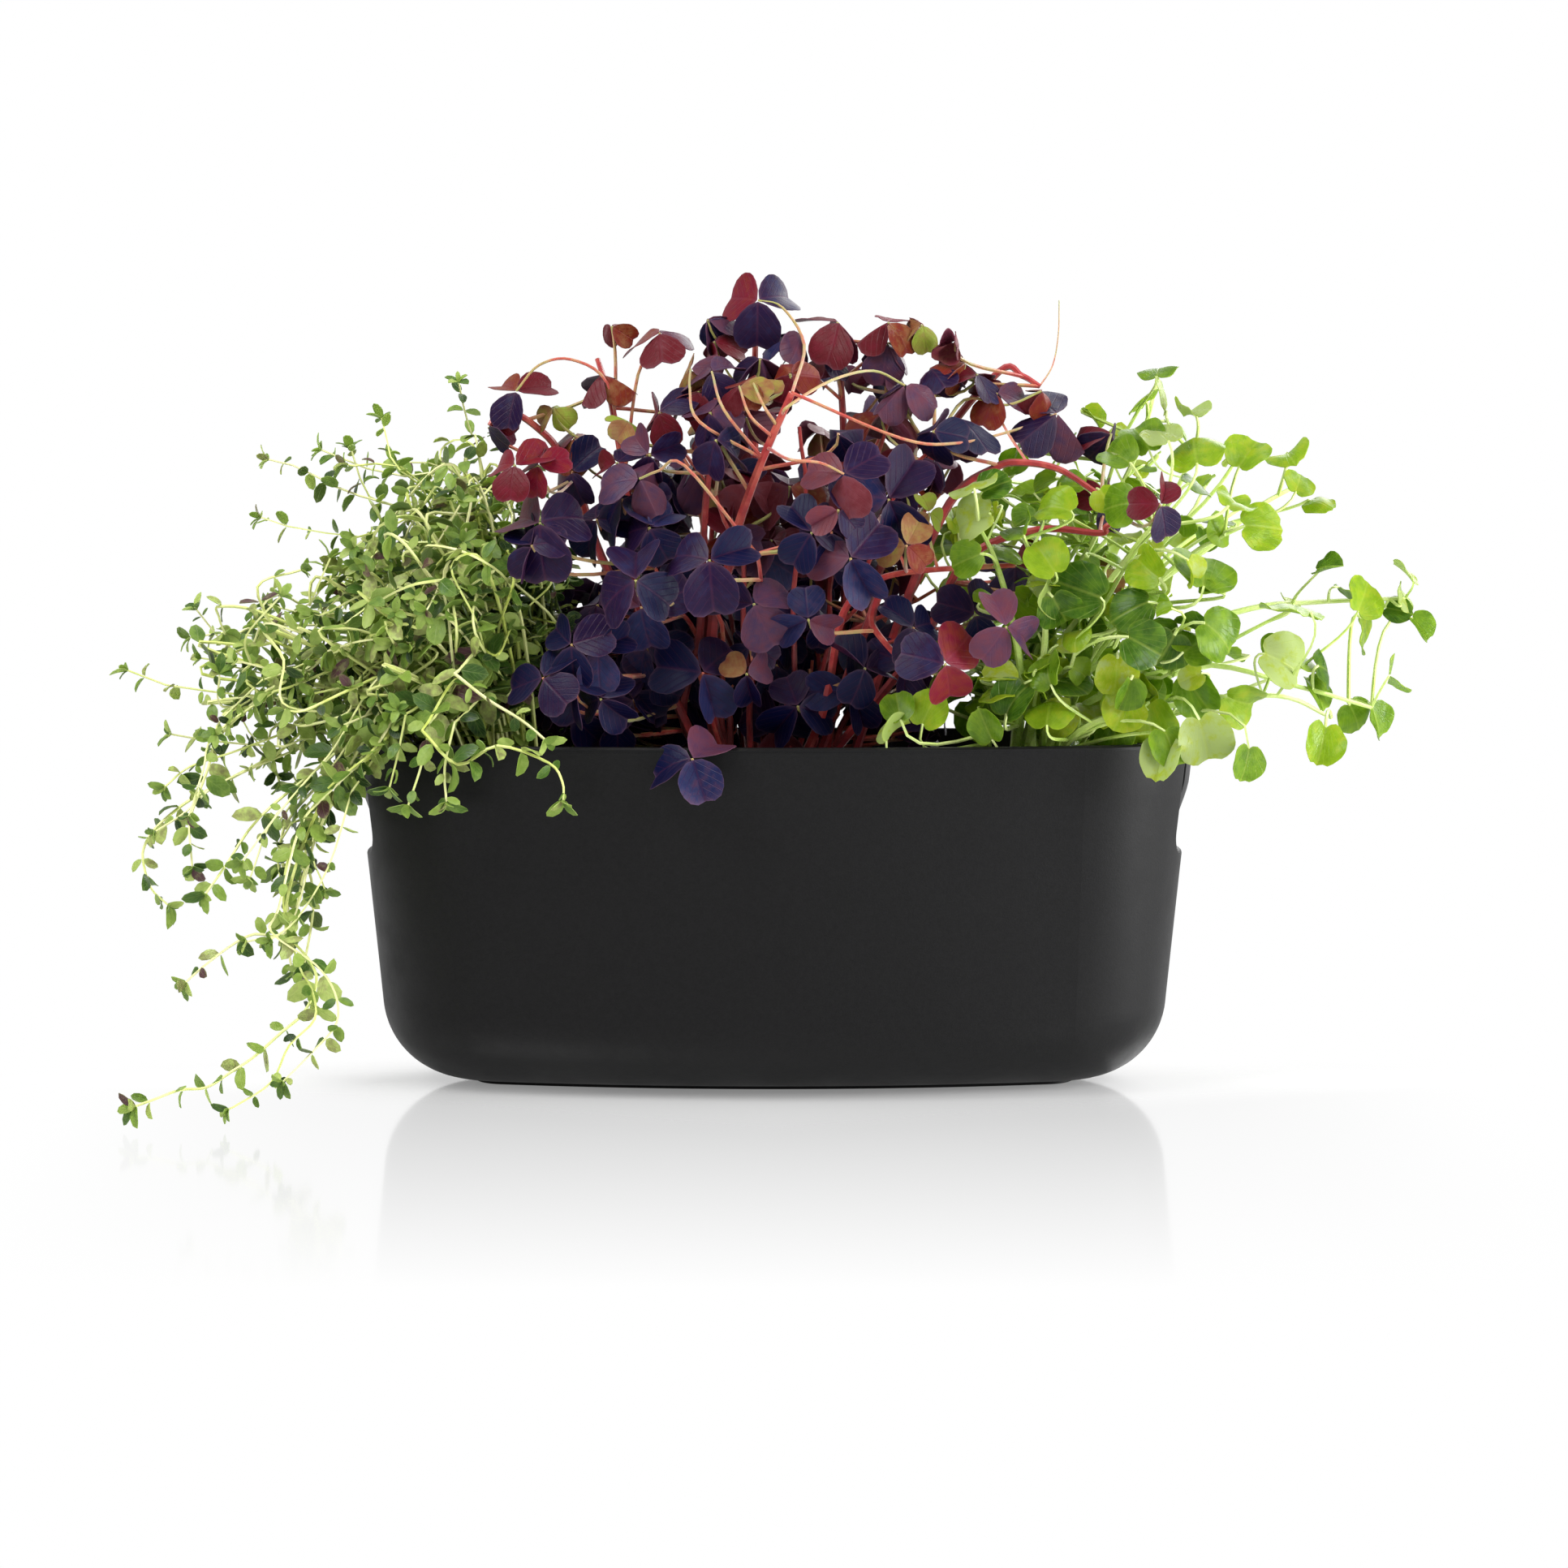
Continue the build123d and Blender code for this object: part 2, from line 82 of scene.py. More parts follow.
camera_data = bpy.data.cameras.new("photo_camera")
camera_data.lens = LENS
camera_data.sensor_width = SENSOR
camera = bpy.data.objects.new("photo_camera", camera_data)
camera.location = CAMERA_PLACE * MM
camera.rotation_euler = (math.pi / 2 - CAMERA_TILT, 0, 0)
scene.collection.objects.link(camera)
scene.camera = camera
print("one pixel at the planter's middle is", round(pixel_size(0), 3), "mm")

# %% [markdown]
# Small helpers for shader nodes. Every finish below is a handful of nodes, so short calls for adding,
# linking and doing sums keep the cells readable. Colours are given on the screen's 0 to 255
# scale and turned into the linear values that a shader works in.

# %% Node helpers
def screen(red, green, blue):
    """A colour as seen on a screen, as the linear colour that a shader takes."""
    def linear(value):
        value = value / 255
        return value / 12.92 if value <= 0.04045 else ((value + 0.055) / 1.055) ** 2.4
    return (linear(red), linear(green), linear(blue), 1.0)


class Nodes:
    """Short calls for building one node tree."""

    def __init__(self, tree):
        self.tree = tree

    def add(self, kind, **settings):
        node = self.tree.nodes.new(kind)
        for name, value in settings.items():
            setattr(node, name, value)
        return node

    def put(self, value, socket):
        """Links an output to a socket, or sets the socket to a plain value."""
        if isinstance(value, bpy.types.NodeSocket):
            self.tree.links.new(value, socket)
        else:
            socket.default_value = value

    def put_all(self, values, sockets):
        for value, socket in zip(values, sockets):
            self.put(value, socket)

    def put_named(self, values, sockets):
        for name, value in values.items():
            self.put(value, sockets[name.replace("_", " ")])

    def sum(self, operation, *values, clamp=False):
        node = self.add("ShaderNodeMath", operation=operation, use_clamp=clamp)
        self.put_all(values, node.inputs)
        return node.outputs[0]

    def times(self, first, second):
        return self.sum("MULTIPLY", first, second)

    def plus(self, first, second, clamp=False):
        return self.sum("ADD", first, second, clamp=clamp)

    def weighed(self, *pairs):
        """The sum of two values, each times its weight."""
        return self.plus(*(self.times(value, weight) for value, weight in pairs))

    def fade(self, value, low, high, start=0.0, end=1.0, kind="SMOOTHSTEP"):
        """Maps low..high of a value on to start..end, smoothly unless another kind is named."""
        node = self.add("ShaderNodeMapRange", interpolation_type=kind)
        self.put_all((value, low, high, start, end), node.inputs)
        return node.outputs[0]

    def blend(self, share, first, second):
        """A colour between two colours."""
        node = self.add("ShaderNodeMix", data_type="RGBA")
        self.put_all((share, first, second), (node.inputs[0], *node.inputs[6:8]))
        return node.outputs[2]

    def mix(self, share, first, second):
        """A value between two values."""
        node = self.add("ShaderNodeMix", data_type="FLOAT")
        self.put_all((share, first, second), (node.inputs[0], *node.inputs[2:4]))
        return node.outputs[0]

    def mix_shaders(self, share, first, second):
        node = self.add("ShaderNodeMixShader")
        self.put_all((share, first, second), node.inputs)
        return node.outputs[0]

    def ramp(self, value, stops):
        """A colour ramp from (place, colour) pairs."""
        node = self.add("ShaderNodeValToRGB")
        for place, _ in stops[2:]:
            node.color_ramp.elements.new(place)
        for element, (place, colour) in zip(node.color_ramp.elements, stops):
            element.position = place
            element.color = colour
        self.put(value, node.inputs[0])
        return node.outputs[0]

    def first(self, kind, **values):
        """Adds a node, sets its named sockets, with underscores for spaces, and gives its first output."""
        node = self.add(kind)
        self.put_named(values, node.inputs)
        return node.outputs[0]

    def noise(self, place, scale, detail=3.0, roughness=0.55):
        return self.first("ShaderNodeTexNoise", Vector=place, Scale=scale, Detail=detail, Roughness=roughness)

    def split(self, vector):
        """The X, Y and Z of a vector."""
        node = self.add("ShaderNodeSeparateXYZ")
        self.put(vector, node.inputs[0])
        return node.outputs

    def bump(self, height, strength, depth):
        """A normal roughened by a height pattern, its depth in metres."""
        return self.first("ShaderNodeBump", Strength=strength, Distance=depth, Height=height)

    def group(self, tree, **values):
        node = self.add("ShaderNodeGroup", node_tree=tree)
        self.put_named(values, node.inputs)
        return node.outputs


def new_group(name, inputs, outputs):
    """An empty node group with named sockets: its tree, its nodes, and its two ends."""
    tree = bpy.data.node_groups.new(name, "ShaderNodeTree")
    for label, kind in inputs:
        tree.interface.new_socket(label, in_out="INPUT", socket_type=kind)
    for label, kind in outputs:
        tree.interface.new_socket(label, in_out="OUTPUT", socket_type=kind)
    nodes = Nodes(tree)
    return tree, nodes, nodes.add("NodeGroupInput").outputs, nodes.add("NodeGroupOutput").inputs


def new_material(name):
    """An empty material: itself, its nodes, its surface socket."""
    material = bpy.data.materials.new(name)
    material.use_nodes = True
    material.node_tree.nodes.clear()
    nodes = Nodes(material.node_tree)
    return material, nodes, nodes.add("ShaderNodeOutputMaterial").inputs["Surface"]


FLOAT, VECTOR = "NodeSocketFloat", "NodeSocketVector"
print("node helpers ready")

# %% [markdown]
# The studio. The planter stands on a white sheet in soft light that comes mostly from the right, which
# is why the black plastic fades from near black on the left to grey on the right. The surroundings are
# white to the camera and to light that passes through a leaf, and a plain, lower level where they light
# the herbs, so the colours keep the depth they are written with. A gloss mirrors the white backdrop and
# the bright right side too, and a dim room on the left behind the camera.

# %% World and lamps
AROUND_LEVEL = 0.46
DIM_ROOM = 0.1
BRIGHT_WAY = (0.8, 0.9)
BRIGHT_REACH = 0.75


def looked_at(nodes):
    """The light path, and whether a ray comes from the camera or through a leaf."""
    path = nodes.add("ShaderNodeLightPath").outputs
    return path, nodes.sum("MAXIMUM", path["Is Camera Ray"], path["Is Transmission Ray"])


def make_world():
    world = bpy.data.worlds.new("white_surroundings")
    world.use_nodes = True
    world.node_tree.nodes.clear()
    nodes = Nodes(world.node_tree)
    path, seen = looked_at(nodes)
    level = nodes.fade(seen, 0.0, 1.0, AROUND_LEVEL, 1.0)
    way = nodes.split(nodes.add("ShaderNodeTexCoord").outputs["Generated"])
    lean = nodes.weighed((way["X"], BRIGHT_WAY[0]), (way["Y"], BRIGHT_WAY[1]))
    mirrored = nodes.fade(lean, -BRIGHT_REACH, BRIGHT_REACH, DIM_ROOM, 1.0)
    strength = nodes.mix(path["Is Glossy Ray"], level, mirrored)
    background = nodes.first("ShaderNodeBackground", Color=(1, 1, 1, 1), Strength=strength)
    nodes.put(background, nodes.add("ShaderNodeOutputWorld").inputs["Surface"])
    scene.world = world


def soft_lamp(name, place, aim, size, power):
    """A square soft box at a place, in metres, turned towards a point."""
    data = bpy.data.lights.new(name, "AREA")
    data.size = size
    data.energy = power
    lamp = bpy.data.objects.new(name, data)
    lamp.location = place
    run = np.array(aim) - np.array(place)
    lamp.rotation_euler = (math.atan2(math.hypot(run[0], run[1]), -run[2]), 0, math.atan2(-run[0], run[1]))
    scene.collection.objects.link(lamp)


PLANTER_MIDDLE = (0.0, 0.0, 0.17)
make_world()
soft_lamp("key_right", (0.85, -0.7, 0.6), PLANTER_MIDDLE, size=0.6, power=9.0)
soft_lamp("low_right", (1.1, -0.22, 0.14), (0.1, 0.0, 0.1), size=0.35, power=8.0)
soft_lamp("top_left", (-0.6, -0.4, 0.95), PLANTER_MIDDLE, size=0.6, power=9.5)
soft_lamp("back_right", (0.55, 0.85, 0.75), PLANTER_MIDDLE, size=0.7, power=9.0)

# %% [markdown]
# The floor is a glossy white sheet. Near the planter it takes the shadow and a pale mirror image that
# fades towards the camera; farther out it is plain white, so that no horizon shows. A mirror that fades
# is a small glossy share steered by the place on the floor, nothing to do with where the camera stands.

# %% Floor
FLOOR_HALF = 4.0
MIRROR_NEAR, MIRROR_FAR = -0.025, -0.36
MIRROR_BACK = 0.05
MIRROR_SIDE, MIRROR_SIDE_FADE = 0.28, 0.14
MIRROR_SHARE = 0.4
MIRROR_DULL = 0.09
SHADE_NEAR, SHADE_FAR = 0.045, 0.13
SHADE_NARROW = 0.4
SHADE_WHITE = 0.35
PAPER_SCALE = 900.0
PAPER_GREYS = ((0.0, (0.93, 0.93, 0.93, 1)), (1.0, (0.97, 0.97, 0.97, 1)))


def floor_material():
    material, nodes, surface = new_material("white_sheet")
    place = nodes.add("ShaderNodeNewGeometry").outputs["Position"]
    parts = nodes.split(place)
    depth = parts["Y"]
    across = nodes.sum("ABSOLUTE", parts["X"])
    paper = nodes.ramp(nodes.noise(place, PAPER_SCALE), PAPER_GREYS)
    away = nodes.plus(nodes.times(across, SHADE_NARROW), nodes.sum("ABSOLUTE", depth))
    plain = nodes.fade(away, SHADE_NEAR, SHADE_FAR, SHADE_WHITE, 1.0)
    path, seen = looked_at(nodes)
    seen = nodes.sum("MAXIMUM", seen, path["Is Glossy Ray"])
    diffuse = nodes.first("ShaderNodeBsdfDiffuse", Color=paper)
    sheet = nodes.mix_shaders(nodes.times(plain, seen), diffuse, nodes.first("ShaderNodeEmission"))
    mirror = nodes.first("ShaderNodeBsdfGlossy", Roughness=MIRROR_DULL)
    share = nodes.fade(depth, MIRROR_FAR, MIRROR_NEAR, 0.0, MIRROR_SHARE, "LINEAR")
    share = nodes.times(share, nodes.fade(depth, 0.0, MIRROR_BACK, 1.0, 0.0))
    share = nodes.times(share, nodes.fade(across, MIRROR_SIDE - MIRROR_SIDE_FADE, MIRROR_SIDE, 1.0, 0.0))
    nodes.put(nodes.mix_shaders(share, sheet, mirror), surface)
    return material


def make_floor():
    corners = [(x * FLOOR_HALF, y * FLOOR_HALF, 0) for x, y in ((-1, -1), (1, -1), (1, 1), (-1, 1))]
    mesh = bpy.data.meshes.new("floor")
    mesh.from_pydata(corners, [], [(0, 1, 2, 3)])
    floor = bpy.data.objects.new("floor", mesh)
    mesh.materials.append(floor_material())
    scene.collection.objects.link(floor)


make_floor()
print("floor made")

# %% [markdown]
# Moulded plastic. The container, the insert and the nursery pots are all injection moulded, with a fine
# spark-eroded grain that scatters the light. Photographs of the grain would do, but a noise pattern in
# the object's own space needs no unwrapping and keeps one scale on every face. The grain, the slow
# unevenness of the gloss and a trace of settled dust make one group that all plastics share.

# %% Moulded grain group
COARSE_GRAIN = 0.31
UNEVEN_SCALE = 38.0
SPECK_SCALE = 420.0


def moulded_grain_group():
    tree, nodes, enter, leave = new_group(
        "moulded_grain",
        (("Grain Scale", FLOAT), ("Dust Amount", FLOAT)),
        (("Height", FLOAT), ("Uneven", FLOAT), ("Dust", FLOAT)),
    )
    place = nodes.add("ShaderNodeTexCoord").outputs["Object"]
    fine = nodes.noise(place, enter["Grain Scale"], 4.0, 0.65)
    coarse = nodes.noise(place, nodes.times(enter["Grain Scale"], COARSE_GRAIN), 2.0)
    nodes.put(nodes.weighed((fine, 0.7), (coarse, 0.3)), leave["Height"])
    nodes.put(nodes.noise(place, UNEVEN_SCALE, 4.0, 0.6), leave["Uneven"])
    up = nodes.split(nodes.add("ShaderNodeNewGeometry").outputs["Normal"])
    settled = nodes.fade(up["Z"], 0.2, 1.0)
    specks = nodes.fade(nodes.noise(place, SPECK_SCALE, 3.0, 0.7), 0.5, 0.72)
    dust = nodes.times(settled, nodes.plus(0.35, nodes.times(specks, 0.65)))
    nodes.put(nodes.times(dust, enter["Dust Amount"]), leave["Dust"])
    return tree


moulded_grain = moulded_grain_group()
print("group:", moulded_grain.name)

# %% [markdown]
# The plastics. The box and its insert are the same near black. The nursery pots are cheaper stuff, greyer,
# shinier and dusty from the compost. The ring under the foot is dull rubber.

# %% Plastics
HERBS = ("thyme", "sorrel", "cress")
DUST_COLOUR = screen(120, 116, 108)
GRAIN_STRENGTH, GRAIN_DEPTH = 0.35, 0.0002
BOX_BLACKS = (screen(9, 9, 10), screen(17, 17, 18))
RUBBER_BLACKS = (screen(16, 16, 16), screen(30, 30, 30))
POT_BLACKS = (screen(22, 22, 22), screen(38, 37, 36))


def plastic(name, dark, light, dull, grain_scale, dust, shine):
    """Moulded plastic: two near shades, a roughness about `dull`, and a grain of some scale."""
    material, nodes, surface = new_material(name)
    grain = nodes.group(moulded_grain, Grain_Scale=grain_scale, Dust_Amount=dust)
    shade = nodes.blend(nodes.fade(grain["Height"], 0.3, 0.7), dark, light)
    nodes.put(nodes.first(
        "ShaderNodeBsdfPrincipled", Base_Color=nodes.blend(grain["Dust"], shade, DUST_COLOUR),
        Roughness=nodes.fade(grain["Uneven"], 0.25, 0.75, dull - 0.05, dull + 0.06),
        Specular_IOR_Level=shine, Normal=nodes.bump(grain["Height"], GRAIN_STRENGTH, GRAIN_DEPTH)), surface)
    return material


def dress(material, *names):
    """Gives CAD nodes a material in place of their plain one."""
    for name in names:
        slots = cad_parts[name].data.materials
        slots.clear()
        slots.append(material)
    print(material.name, "on", ", ".join(names))


dress(plastic("black_container", *BOX_BLACKS, dull=0.5, grain_scale=1500.0, dust=0.05, shine=0.22),
      "outer_container")
dress(plastic("ring_rubber", *RUBBER_BLACKS, dull=0.75, grain_scale=900.0, dust=0.02, shine=0.3), "foot_ring")
dress(plastic("black_insert", *BOX_BLACKS, dull=0.47, grain_scale=1500.0, dust=0.05, shine=0.22),
      "insert_pot")
dress(plastic("nursery_pot_black", *POT_BLACKS, dull=0.4, grain_scale=700.0, dust=0.25, shine=0.4),
      *(herb + "_pot" for herb in HERBS))

# %% [markdown]
# Felt. The mat and the three wicks are needled polyester felt that draws water up. Its look is short
# matted fibres: a fine noise for the fibres, a coarser one for the thick and thin places, and a soft
# sheen from the fuzz.

# %% Felt
FIBRE_SCALE, THICKNESS_SCALE = 1900.0, 160.0


def palette(*rows):
    """Ramp stops from rows that hold a place and a screen colour."""
    return tuple((place, screen(*colour)) for place, *colour in rows)


def felt_material():
    material, nodes, surface = new_material("grey_felt")
    place = nodes.add("ShaderNodeTexCoord").outputs["Object"]
    fibres = nodes.noise(place, FIBRE_SCALE, 6.0, 0.75)
    thick = nodes.noise(place, THICKNESS_SCALE, 3.0)
    height = nodes.weighed((fibres, 0.6), (thick, 0.4))
    shade = nodes.ramp(height, palette((0.32, 118, 120, 116), (0.52, 168, 168, 162), (0.7, 205, 204, 196)))
    nodes.put(nodes.first("ShaderNodeBsdfPrincipled", Base_Color=shade, Roughness=0.95, Sheen_Weight=0.35,
                          Normal=nodes.bump(height, 0.8, 0.0005)), surface)
    return material


dress(felt_material(), "capillary_mat", "wick_left", "wick_centre", "wick_right")

# %% [markdown]
# Compost. Each root ball is dark peat with bark crumbs and white perlite grains. A cell pattern gives the
# crumbs, and a few of its cells are perlite.

# %% Compost
CRUMB_SCALE, PEAT_SCALE = 420.0, 700.0
PERLITE = screen(205, 200, 190)


def compost_material():
    material, nodes, surface = new_material("peat_compost")
    place = nodes.add("ShaderNodeTexCoord").outputs["Object"]
    crumbs = nodes.add("ShaderNodeTexVoronoi")
    nodes.put_named({"Vector": place, "Scale": CRUMB_SCALE}, crumbs.inputs)
    soft = nodes.noise(place, PEAT_SCALE, 5.0, 0.7)
    height = nodes.plus(nodes.times(crumbs.outputs["Distance"], -0.6), soft)
    shade = nodes.ramp(soft, palette((0.3, 24, 17, 13), (0.5, 52, 37, 27), (0.72, 92, 68, 48)))
    perlite = nodes.fade(nodes.first("ShaderNodeSeparateColor", Color=crumbs.outputs["Color"]), 0.93, 0.95)
    nodes.put(nodes.first(
        "ShaderNodeBsdfPrincipled", Base_Color=nodes.blend(perlite, shade, PERLITE), Roughness=0.92,
        Normal=nodes.bump(height, 1.0, 0.0025)), surface)
    return material


dress(compost_material(), *(herb + "_root_ball" for herb in HERBS))

# %% [markdown]
# Growing a herb. A plant of many leaves could be built with instances, but each leaf here has its own
# bend and shade, so all points of one plant are gathered in arrays and made into one mesh. Two point
# attributes go along for the materials: `leaf_place` says how far across, how far along and how near
# the edge a point lies, and `leaf_mood` holds the tint, a chance value and which side it is on.

# %% Gathering leaves and stems
SHARP_ANGLE = math.radians(55)
UP = np.array((0.0, 0.0, 1.0))
TOWARDS_CAMERA = np.array((0.0, -1.0, 0.0))
LEAF, STEM = 0, 1


class Growth:
    """The points and faces of one herb, gathered until its mesh is made."""

    def __init__(self):
        self.points, self.faces, self.kinds, self.places, self.moods = [], [], [], [], []
        self.total = 0

    def add(self, points, faces, kind, places, moods):
        self.points.append(points)
        self.faces.extend((np.asarray(faces) + self.total).tolist())
        self.kinds.extend([kind] * len(faces))
        self.places.append(places)
        self.moods.append(moods)
        self.total += len(points)

    def make(self, name, body, slot, node, materials):
        """Makes the mesh, stands it in for a CAD node and lets it ride on that node's body."""
        mesh = bpy.data.meshes.new(name)
        mesh.from_pydata((np.concatenate(self.points) * MM).tolist(), [], self.faces)
        for label, values in (("leaf_place", self.places), ("leaf_mood", self.moods)):
            attribute = mesh.attributes.new(label, "FLOAT_VECTOR", "POINT")
            attribute.data.foreach_set("vector", np.concatenate(values).astype(np.float32).ravel())
        mesh.polygons.foreach_set("material_index", self.kinds)
        for material in materials:
            mesh.materials.append(material)
        mesh.shade_smooth()
        mesh.set_sharp_from_angle(angle=SHARP_ANGLE)
        plant = bpy.data.objects.new(name, mesh)
        scene.collection.objects.link(plant)
        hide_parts(node)
        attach(plant, body)
        print(name, "points:", self.total, "faces:", len(self.faces))


def unit(vector):
    return vector / (np.linalg.norm(vector) + 1e-9)


def turned(first, second, angle):
    """The first direction turned towards the second by an angle."""
    return first * math.cos(angle) + second * math.sin(angle)


print("growth helpers ready")

# %% [markdown]
# One leaf. A leaf is a thin closed sheet. Its outline is given as two formulas, the lower and the upper
# edge at each place across, and a grid of points is spread between them. The sheet is then folded along
# its midrib, waved at the edge and curled along its length, the way real leaves catch the light.

# %% Leaf sheets
OUTLINE_SPAN = 0.985


class LeafShape:
    """A flat leaf outline as a grid: u across from -1 to 1, v along from 0 to 1."""

    def __init__(self, across, along, outline):
        turn = np.linspace(-1, 1, across)
        u = OUTLINE_SPAN * np.sin(turn * math.pi / 2)
        low, high = outline(u)
        step = np.linspace(0, 1, along)
        self.u = np.repeat(u, along)
        self.v = (low[:, None] + (high - low)[:, None] * step).ravel()
        rim = np.zeros((across, along))
        rim[[0, -1], :] = 1
        rim[:, [0, -1]] = 1
        self.edge = rim.ravel()
        self.faces = self.sheet_faces(across, along)

    @staticmethod
    def sheet_faces(across, along):
        """Quads of the upper side, the lower side and the thin rim between them."""
        grid = np.arange(across * along).reshape(across, along)
        total = across * along
        upper = np.stack((grid[:-1, :-1], grid[1:, :-1], grid[1:, 1:], grid[:-1, 1:]), -1).reshape(-1, 4)
        loop = np.concatenate((grid[:, 0], grid[-1, 1:], grid[-2::-1, -1], grid[0, -2:0:-1]))
        after = np.roll(loop, -1)
        rim = np.stack((after, loop, loop + total, after + total), -1)
        return np.concatenate((upper, upper[:, ::-1] + total, rim))


def add_leaf(growth, shape, base, tip, face, length, width, tint, chance,
             fold=0.15, curl=0.4, wave=0.0, thick=0.3):
    """Adds one leaf that starts at base, points along tip and shows its upper side towards face."""
    tip = unit(tip)
    face = unit(face - tip * np.dot(face, tip))
    side = np.cross(tip, face)
    x = shape.u * width / 2
    ripple = wave * length * np.sin(7.0 * shape.v + 5.0 * np.abs(shape.u) + 6.28 * chance)
    z = np.abs(x) * math.tan(fold) + ripple * np.abs(shape.u)
    bend = curl * shape.v
    radius = length / curl
    spread = base + np.outer(x * math.cos(fold), side)
    layers = []
    for drop in (0.0, thick):
        y_bent = (radius + z - drop) * np.sin(bend)
        z_bent = (radius + z - drop) * np.cos(bend) - radius
        layers.append(spread + np.outer(y_bent, tip) + np.outer(z_bent, face))
    places = np.stack((shape.u, shape.v, shape.edge), -1)
    moods = np.stack([np.broadcast_to((tint, chance, upper), places.shape) for upper in (1.0, 0.0)])
    places = np.concatenate((places, places))
    growth.add(np.concatenate(layers), shape.faces, LEAF, places, moods.reshape(-1, 3))


def leaf_plane(face):
    """The way a leaf faces, and the up and right directions in its plane, all of length one."""
    face = unit(face)
    upright = unit(UP - face * np.dot(UP, face))
    return face, upright, np.cross(upright, face)


print("leaf sheets ready")

# %% [markdown]
# Stems. A stem is a tube along a smooth path through a few points. The ring of points is carried along
# the path without twisting, each ring turned from the one before by the bend of the path only. Thin
# stalks leave the stems at a lower point and bend into their leaves.

# %% Stems
STEM_SIDES, STALK_SIDES = 6, 4
STALK_STEPS = 8
STALK_LIFT, STALK_LEAVE, STALK_ARRIVE = 0.06, 0.4, 0.34
CLIMB_COST, CLIMB_ROOM = 4.0, 4.0


def smooth_path(points, steps=5):
    """A curve that passes through all the points, with some steps between each two."""
    points = np.asarray(points, dtype=float)
    ends = np.vstack((2 * points[0] - points[1], points, 2 * points[-1] - points[-2]))
    share = np.linspace(0, 1, steps, endpoint=False)[:, None]
    runs = []
    for p0, p1, p2, p3 in zip(ends, ends[1:], ends[2:], ends[3:]):
        runs.append(0.5 * (2 * p1 + (p2 - p0) * share + (2 * p0 - 5 * p1 + 4 * p2 - p3) * share**2
                           + (3 * p1 - p0 - 3 * p2 + p3) * share**3))
    return np.vstack(runs + [points[-1:]])


def add_stem(growth, path, thick, thin, sides, tint, chance):
    """Adds a tube along a path, from one diameter to another, closed at both ends; its sides are even."""
    runs = np.gradient(path, axis=0)
    runs /= np.linalg.norm(runs, axis=1)[:, None] + 1e-9
    out = unit(np.cross(runs[0], UP if abs(runs[0][2]) < 0.9 else TOWARDS_CAMERA))
    angle = np.linspace(0, 2 * math.pi, sides, endpoint=False)
    along = np.linspace(0, 1, len(path))
    rings = []
    for place, run, share in zip(path, runs, along):
        out = unit(out - run * np.dot(out, run))
        ring = np.outer(np.cos(angle), out) + np.outer(np.sin(angle), np.cross(run, out))
        rings.append(place + ring * (thick + (thin - thick) * share) / 2)
    grid = np.arange(len(path) * sides).reshape(len(path), sides)
    after = np.roll(grid, -1, axis=1)
    tube = np.stack((grid[:-1], after[:-1], after[1:], grid[1:]), -1).reshape(-1, 4)
    half = [(0, k, k + 1, k + 2) for k in range(1, sides - 2, 2)]
    start = [tuple(grid[0][list(quad)][::-1]) for quad in half]
    end = [tuple(grid[-1][list(quad)]) for quad in half]
    around = np.tile(angle / math.pi - 1, len(path))
    places = np.stack((around, np.repeat(along, sides), np.zeros(grid.size)), -1)
    moods = np.tile((tint, chance, 1.0), (grid.size, 1))
    growth.add(np.vstack(rings), np.vstack((tube, start, end)), STEM, places, moods)


class Stems:
    """The main stems of one herb, which the stalks of its leaves leave."""

    def __init__(self, growth):
        self.growth = growth
        self.points = np.empty((0, 3))

    def add(self, path, thick, thin, tint, chance):
        add_stem(self.growth, path, thick, thin, STEM_SIDES, tint, chance)
        self.points = np.vstack((self.points, path))

    def nearest(self, place):
        """The stem point nearest to a place."""
        return self.points[np.argmin(np.linalg.norm(self.points - place, axis=1))]

    def stalk(self, end, arrive, thick, tint, chance, usual=0.0):
        """A thin stalk to a leaf, arriving along a direction, from a lower point about a usual reach away."""
        away = self.points - end
        climb = np.maximum(away[:, 2] + CLIMB_ROOM, 0)
        start = self.points[np.argmin(np.abs(np.linalg.norm(away, axis=1) - usual) + CLIMB_COST * climb)]
        reach = np.linalg.norm(end - start)
        control = end - unit(arrive) * reach * STALK_ARRIVE
        lift = start + (control - start) * STALK_LEAVE + UP * reach * STALK_LIFT
        share = np.linspace(0, 1, STALK_STEPS)[:, None]
        path = ((1 - share) ** 3 * start + 3 * share * (1 - share) ** 2 * lift
                + 3 * share**2 * (1 - share) * control + share**3 * end)
        add_stem(self.growth, path, thick * 1.15, thick * 0.85, STALK_SIDES, tint, chance)


print("stems ready")

# %% [markdown]
# Living tissue. All three herbs share two effects: the net of veins and the cloudy mottling of a leaf.
# The veins are worked out from the leaf's own places, either as side veins that leave the midrib or as
# a fan from the base, so they follow every fold.

# %% Vein and mottle groups
MIDRIB_WIDTH = 0.09
FAN_SHARE = 0.6
CELLS_FINER = 7.0


